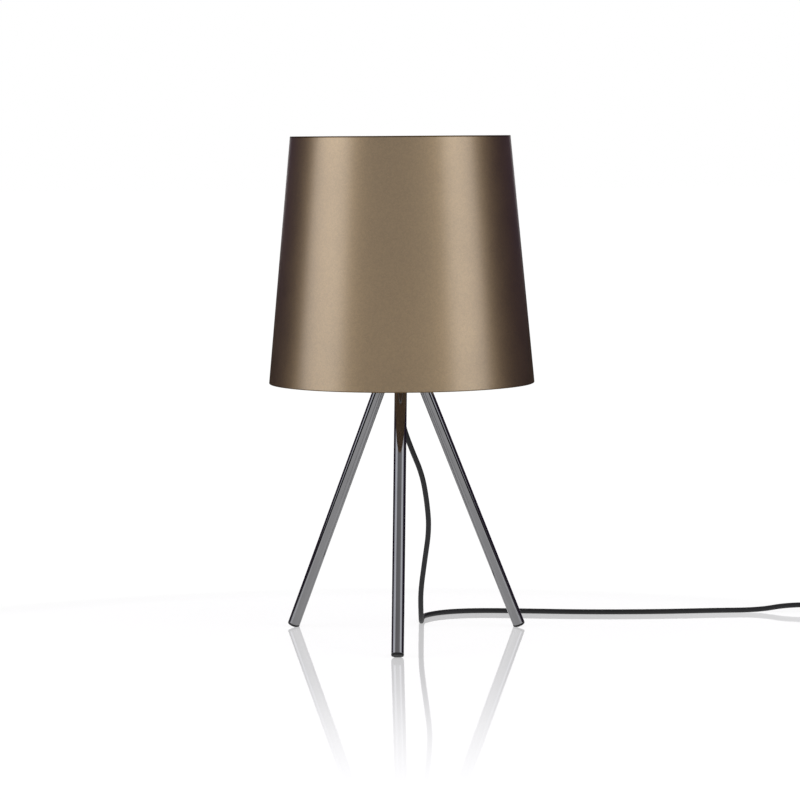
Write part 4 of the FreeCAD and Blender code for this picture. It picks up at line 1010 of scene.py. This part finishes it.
# ---- lead
@dataclass
class Lead:
    """The mains lead: from the hub to the in-line switch, then coiled up to its plug."""

    diameter: float = 0.006
    relief_end: Point = (0.0, 0.0, 0.2557)
    switch_far_end: Point = (0.594, 0.187, 0.009)
    to_switch: tuple[Point, ...] = (
        (0.0, 0.0, 0.2557), (0.0003, 0.0004, 0.243), (0.0098, 0.0044, 0.215),
        (0.0219, 0.015, 0.184), (0.0269, 0.0272, 0.150), (0.0287, 0.0383, 0.118),
        (0.0228, 0.051, 0.080), (0.0176, 0.0594, 0.0434), (0.0175, 0.0678, 0.0177),
        (0.0172, 0.0878, 0.003), (0.0164, 0.1128, 0.003), (0.0179, 0.142, 0.003),
        (0.0407, 0.170, 0.003), (0.078, 0.1816, 0.003), (0.1324, 0.178, 0.003),
        (0.208, 0.1692, 0.003), (0.290, 0.171, 0.003), (0.364, 0.182, 0.003),
        (0.416, 0.1864, 0.003), (0.450, 0.187, 0.009), (0.476, 0.187, 0.009),
    )
    to_coil: tuple[Point, ...] = (
        (0.594, 0.187, 0.009), (0.618, 0.187, 0.009), (0.645, 0.1694, 0.003),
        (0.654, 0.141, 0.003), (0.6455, 0.113, 0.003), (0.621, 0.0968, 0.003),
        (0.584, 0.0955, 0.0036),
    )
    coil_centre: Pair = (0.540, 0.058)
    coil_outer: float = 0.0375
    coil_pitch: float = 0.0066
    coil_layer_turns: float = 1.375
    coil_climb_turns: float = 0.5
    coil_layer_step: float = 0.0066
    coil_z: float = 0.0036
    coil_start: float = 90.0
    points_per_turn: int = 20
    tail: tuple[Point, ...] = (
        (0.5025, 0.031, 0.0102), (0.5055, 0.003, 0.00685), (0.5055, -0.0185, 0.00685),
    )
    strap_turns: tuple[float, ...] = (0.75, 2.75, 1.75)   # where the turns pass the strap
    strap_width: float = 0.010
    strap_thickness: float = 0.0005
    strap_gap: float = 0.00004
    strap_steps: int = 8
    strap_rounding: float = 0.6   # of half the thickness
    strap_corner_steps: int = 3
    bevel_steps: int = 8
    curve_steps: int = 16
    first_length: float = 0.79
    second_length: float = 0.95

    def build(self, shop: Workshop) -> None:
        """Builds both lengths of the lead.

        Args:
            shop: the shared workshop.
        """
        near = self.cord("lead_to_switch", self.to_switch)
        shop.stands_for(near, "lamp", "cord_black", ["cord_lead"])
        self.strap(shop)
        far = self.cord("lead_to_plug", [*self.to_coil, *self.coil(), *self.tail])
        shop.stands_for(far, "lamp", "cord_black", ["cord_loop", "cord_coil", "cord_tail"])

    def strap(self, shop: Workshop) -> None:
        """Builds the woven strap that holds the coil's turns.

        Args:
            shop: the shared workshop.
        """
        edge, half = self.strap_thickness / 2, self.strap_width / 2
        settle = math.cos(math.pi / self.points_per_turn)   # the spline runs inside its points
        strands = [self.coil_point(turns, settle) for turns in self.strap_turns]
        reach = self.diameter / 2 + edge + self.strap_gap
        line = Meshes.wrapped([(x, z) for x, y, z in strands], reach, self.strap_steps)
        rounding = edge * self.strap_rounding
        section = Meshes.block(-edge, edge, -half, half, (rounding, rounding),
                               self.strap_corner_steps)
        count, across = len(line), len(section)
        points = []
        for i, here in enumerate(line):
            run = (Vector(line[(i + 1) % count]) - Vector(line[i - 1])).normalized()
            out = Vector((run.y, -run.x))
            for u, v in section:
                spot = Vector(here) + out * u
                points.append((spot.x, self.coil_centre[1] + v, spot.y))
        faces = [(i * across + j, (i + 1) % count * across + j,
                  (i + 1) % count * across + (j + 1) % across, i * across + (j + 1) % across)
                 for i in range(count) for j in range(across)]
        base = bpy.data.meshes.new("strap_base")
        base.from_pydata(points, [], faces)
        shop.repeated("strap", base, 1, 0.0, "lamp", "tie_black", ["cord_tie"])

    def coil(self) -> list[Point]:
        """The put-away coil's turns: in, up a layer, and out again.

        Returns:
            Points of the cord's middle line.
        """
        total = 2 * self.coil_layer_turns + self.coil_climb_turns
        count = round(total * self.points_per_turn)
        return [self.coil_point(total * k / count) for k in range(count + 1)]

    def coil_point(self, turns: float, settle: float = 1.0) -> Point:
        """A point of the coil.

        Args:
            turns: how far along it.
            settle: the share of the radius that is kept.

        Returns:
            The point.
        """
        inward = min(turns, self.coil_layer_turns + self.coil_climb_turns / 2)
        outward = max(turns - self.coil_layer_turns - self.coil_climb_turns / 2, 0)
        radius = (self.coil_outer - self.coil_pitch * (inward - outward)) * settle
        rise = min(max((turns - self.coil_layer_turns) / self.coil_climb_turns, 0), 1)
        z = self.coil_z + self.coil_layer_step * (1 - math.cos(math.pi * rise)) / 2
        angle = math.radians(self.coil_start) + 2 * math.pi * turns
        return (self.coil_centre[0] + radius * math.cos(angle),
                self.coil_centre[1] + radius * math.sin(angle), z)

    def cord(self, name: str, points: Sequence[Point]) -> bpy.types.Object:
        """One length of cord on a smooth curve.

        Args:
            name: the piece's name.
            points: the curve's control points.

        Returns:
            The curve object.
        """
        curve = bpy.data.curves.new(name, "CURVE")
        curve.dimensions = "3D"
        curve.bevel_depth = 1.0
        curve.bevel_resolution = self.bevel_steps
        curve.resolution_u = self.curve_steps
        curve.use_fill_caps = True
        spline = curve.splines.new("NURBS")
        spline.points.add(len(points) - 1)
        for held, point in zip(spline.points, points):
            held.co = (*point, 1.0)
            held.radius = self.diameter / 2
        spline.order_u = 3
        spline.use_endpoint_u = True
        spline.use_smooth = True
        return placed(name, curve)


# ---- studio
@dataclass(frozen=True)
class SoftBox:
    """A tall soft lamp that stands beside the camera's line."""

    name: str
    bearing: float  # degrees from the camera's side, to the right as the camera sees it
    distance: float
    width: float
    low: float
    high: float
    radiance: float


@dataclass
class Studio:
    """The white floor, the surroundings, the lamps and the camera."""

    distance: float = 3.623
    azimuth: float = 2.48
    height: float = 0.568
    focal: float = 3213.0   # in pixels of the frame
    frame: float = 800.0
    sensor: float = 36.0
    clip: Pair = (0.05, 200.0)
    pitch: float = 4.70
    roll: float = 0.0065
    aside: float = 0.0006
    floor_size: float = 60.0
    floor_colour: float = 0.45
    # strength of the pool's painted light, which glows though the floor is no lamp
    floor_glow: float = 0.82
    floor_ior: float = 1.70
    mirror_colour: Colour = (0.97, 0.96, 0.965)
    haze: Pair = (0.025, 0.045)   # the mirror's roughness
    haze_scale: float = 3.0
    gloss_full: float = 0.15      # the floor's gloss fades out with distance
    gloss_gone: float = 1.00
    light_pool_y: float = -0.45         # the floor's painted pool of light, before the lamp
    light_pool_full: float = 0.75
    light_pool_gone: float = 1.15
    whitening: float = 5.0        # how fast the camera sees white where the spot ends
    far_radiance: float = 1.03    # of that white
    soft_boxes: tuple[SoftBox, ...] = (
        SoftBox("left_soft_box", -73.5, 2.6, 2.05, 0.15, 3.4, 1.19),
        SoftBox("right_soft_box", 61.0, 2.6, 1.65, 0.15, 3.4, 1.11),
    )
    soft_box_tint: Colour = (0.99, 1.02, 1.10)
    overhead_size: float = 2.0
    overhead_z: float = 3.2
    overhead_radiance: float = 0.3
    shadow_tint: Colour = (0.028, 0.012, 0.042)   # of the dark wings
    # brightness of the room by bearing from the camera's side: a backdrop behind the lamp,
    # dark wings beside it, and a dim room round the camera
    room: tuple[Pair, ...] = (
        (-180, 1.0), (-171, 1.0), (-160, 0.015), (-105, 0.025), (-90, 0.11), (-75, 0.30),
        (-60, 0.43), (-45, 0.44), (-30, 0.44), (-15, 0.46), (0, 0.45), (15, 0.49),
        (30, 0.54), (45, 0.50), (60, 0.43), (75, 0.24), (90, 0.06), (105, 0.015),
        (160, 0.015), (171, 1.0), (180, 1.0),
    )

    def build(self) -> None:
        """Builds the studio."""
        self.floor()
        self.surroundings()
        self.lamps()
        self.camera()
        bpy.context.scene.view_settings.view_transform = "Standard"

    def floor(self) -> None:
        """A glossy floor: a painted pool of light glows before the lamp, the floor's colour is
        painted darker beyond it, and the camera sees white there as it sees the background.
        """
        half = self.floor_size / 2
        mesh = bpy.data.meshes.new("studio_floor")
        mesh.from_pydata([(-half, -half, 0), (half, -half, 0), (half, half, 0),
                          (-half, half, 0)], [], [(0, 1, 2, 3)])
        floor = placed("studio_floor", mesh)
        made = bpy.data.materials.new("studio_floor")
        mesh.materials.append(made)
        w = Wiring.fresh(made)
        place = w.add("ShaderNodeTexCoord").outputs["Object"]
        reach = w.add("ShaderNodeVectorMath", {"operation": "LENGTH"}, place)
        gloss = w.falling(reach.outputs["Value"], self.gloss_full, self.gloss_gone)
        lit = w.add("ShaderNodeVectorMath", {"operation": "DISTANCE"}, place,
                    (0.0, self.light_pool_y, 0.0))
        spot = w.falling(lit.outputs["Value"], self.light_pool_full, self.light_pool_gone)
        # painted shade: the floor's colour darkens away from the pool of painted light, so
        # reflections see a dark floor
        sheet = w.add("ShaderNodeBsdfDiffuse",
                      Color=w.math("MULTIPLY", spot, self.floor_colour))
        glow = w.add("ShaderNodeEmission",
                     Strength=w.math("MULTIPLY", spot, self.floor_glow))
        haze = w.add("ShaderNodeTexNoise", Vector=place, Scale=self.haze_scale, Detail=2.0)
        clearest, dullest = self.haze
        dull = w.add("ShaderNodeMapRange", Value=haze, To_Min=clearest, To_Max=dullest)
        mirror = w.add("ShaderNodeBsdfGlossy", Color=(*self.mirror_colour, 1), Roughness=dull)
        edge = w.add("ShaderNodeFresnel", IOR=self.floor_ior)
        near = w.add("ShaderNodeMixShader", {}, w.math("MULTIPLY", edge, gloss),
                     w.add("ShaderNodeAddShader", {}, sheet, glow), mirror)
        seen = w.add("ShaderNodeLightPath").outputs["Is Camera Ray"]
        unlit = w.math("MULTIPLY", w.math("SUBTRACT", 1.0, spot), self.whitening)
        far = w.math("MULTIPLY", seen, w.math("MINIMUM", unlit, 1.0))
        white = w.add("ShaderNodeEmission", Strength=self.far_radiance)
        above = w.add("ShaderNodeMixShader", {}, far, near, white)
        under = w.add("ShaderNodeNewGeometry").outputs["Backfacing"]
        clear = w.add("ShaderNodeBsdfTransparent")
        w.add("ShaderNodeOutputMaterial",
              Surface=w.add("ShaderNodeMixShader", {}, under, above, clear))
        floor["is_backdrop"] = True

    def surroundings(self) -> None:
        """White for the camera; for reflections a white backdrop behind a dim room."""
        world = bpy.data.worlds.new("studio")
        bpy.context.scene.world = world
        w = Wiring.fresh(world)
        way = w.add("ShaderNodeTexCoord").outputs["Generated"]
        parts = w.add("ShaderNodeSeparateXYZ", Vector=way)
        compass = w.math("ARCTAN2", parts.outputs["X"],
                         w.math("MULTIPLY", parts.outputs["Y"], -1.0))
        bearing = w.math("WRAP", w.math("SUBTRACT", compass, math.radians(self.azimuth)),
                         math.pi, -math.pi)
        share = w.math("MULTIPLY_ADD", bearing, 0.5 / math.pi, 0.5)
        room = w.ramp(share, [((b + 180) / 360, level) for b, level in self.room])
        seen = w.add("ShaderNodeLightPath").outputs["Is Camera Ray"]
        shown = w.blend(seen, w.blend(room, self.shadow_tint, WHITE), WHITE)
        light = w.add("ShaderNodeBackground", Color=shown)
        w.add("ShaderNodeOutputWorld", Surface=light)

    @staticmethod
    def lamp(name: str, width: float, tall: float, radiance: float) -> bpy.types.Object:
        """A soft lamp that the camera doesn't see.

        Args:
            name: the lamp's name.
            width: its width.
            tall: its height.
            radiance: its brightness.

        Returns:
            The lamp, at the origin, shining down.
        """
        data = bpy.data.lights.new(name, "AREA")
        data.shape = "RECTANGLE"
        data.size, data.size_y = width, tall
        data.energy = radiance * math.pi * width * tall
        lamp = placed(name, data)
        lamp.visible_camera = False
        return lamp

    def lamps(self) -> None:
        """The soft boxes beside the camera's line and the soft lamp above the table."""
        for box in self.soft_boxes:
            lamp = self.lamp(box.name, box.width, box.high - box.low, box.radiance)
            lamp.data.color = self.soft_box_tint
            bearing = math.radians(box.bearing + self.azimuth)
            aside = Vector((math.sin(bearing), -math.cos(bearing), 0)) * box.distance
            lamp.location = (aside.x, aside.y, (box.low + box.high) / 2)
            lamp.rotation_euler = aside.to_track_quat("Z", "Y").to_euler()
        size = self.overhead_size
        above = self.lamp("overhead", size, size, self.overhead_radiance)
        above.location = (0.0, 0.0, self.overhead_z)

    def camera(self) -> None:
        """The camera at the photograph's place."""
        data = bpy.data.cameras.new("camera")
        data.sensor_width = self.sensor
        data.lens = self.focal / self.frame * self.sensor
        data.clip_start, data.clip_end = self.clip
        camera = placed("camera", data)
        turn = math.radians(self.azimuth)
        camera.location = (self.distance * math.sin(turn), -self.distance * math.cos(turn),
                           self.height)
        heading = Matrix.Rotation(turn + self.aside, 4, "Z")
        tilt = Matrix.Rotation(math.radians(90 - self.pitch), 4, "X")
        lean = Matrix.Rotation(-self.roll, 4, "Z")
        camera.rotation_euler = (heading @ tilt @ lean).to_euler()
        bpy.context.scene.camera = camera


def corners() -> list[list[float]]:
    """The object's box as plain numbers.

    Returns:
        The lowest and the highest corner.
    """
    bpy.context.view_layer.update()
    low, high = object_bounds()
    return [list(low), list(high)]


def main() -> None:
    """Builds the lamp and its studio."""
    logging.basicConfig(level=logging.INFO, format="%(message)s")
    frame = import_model()
    solid_box = corners()
    shop = Workshop()
    shop.paint.dress_solids(frame["nodes"], frame["record"])
    for assembly in (Shade(), Legs(), RingNuts(), Bulb(), Lead()):
        assembly.build(shop)
        LOG.info("%s done", type(assembly).__name__)
    Studio().build()
    {"cad": solid_box, "visual": corners()}


if __name__ == "__main__":
    main()
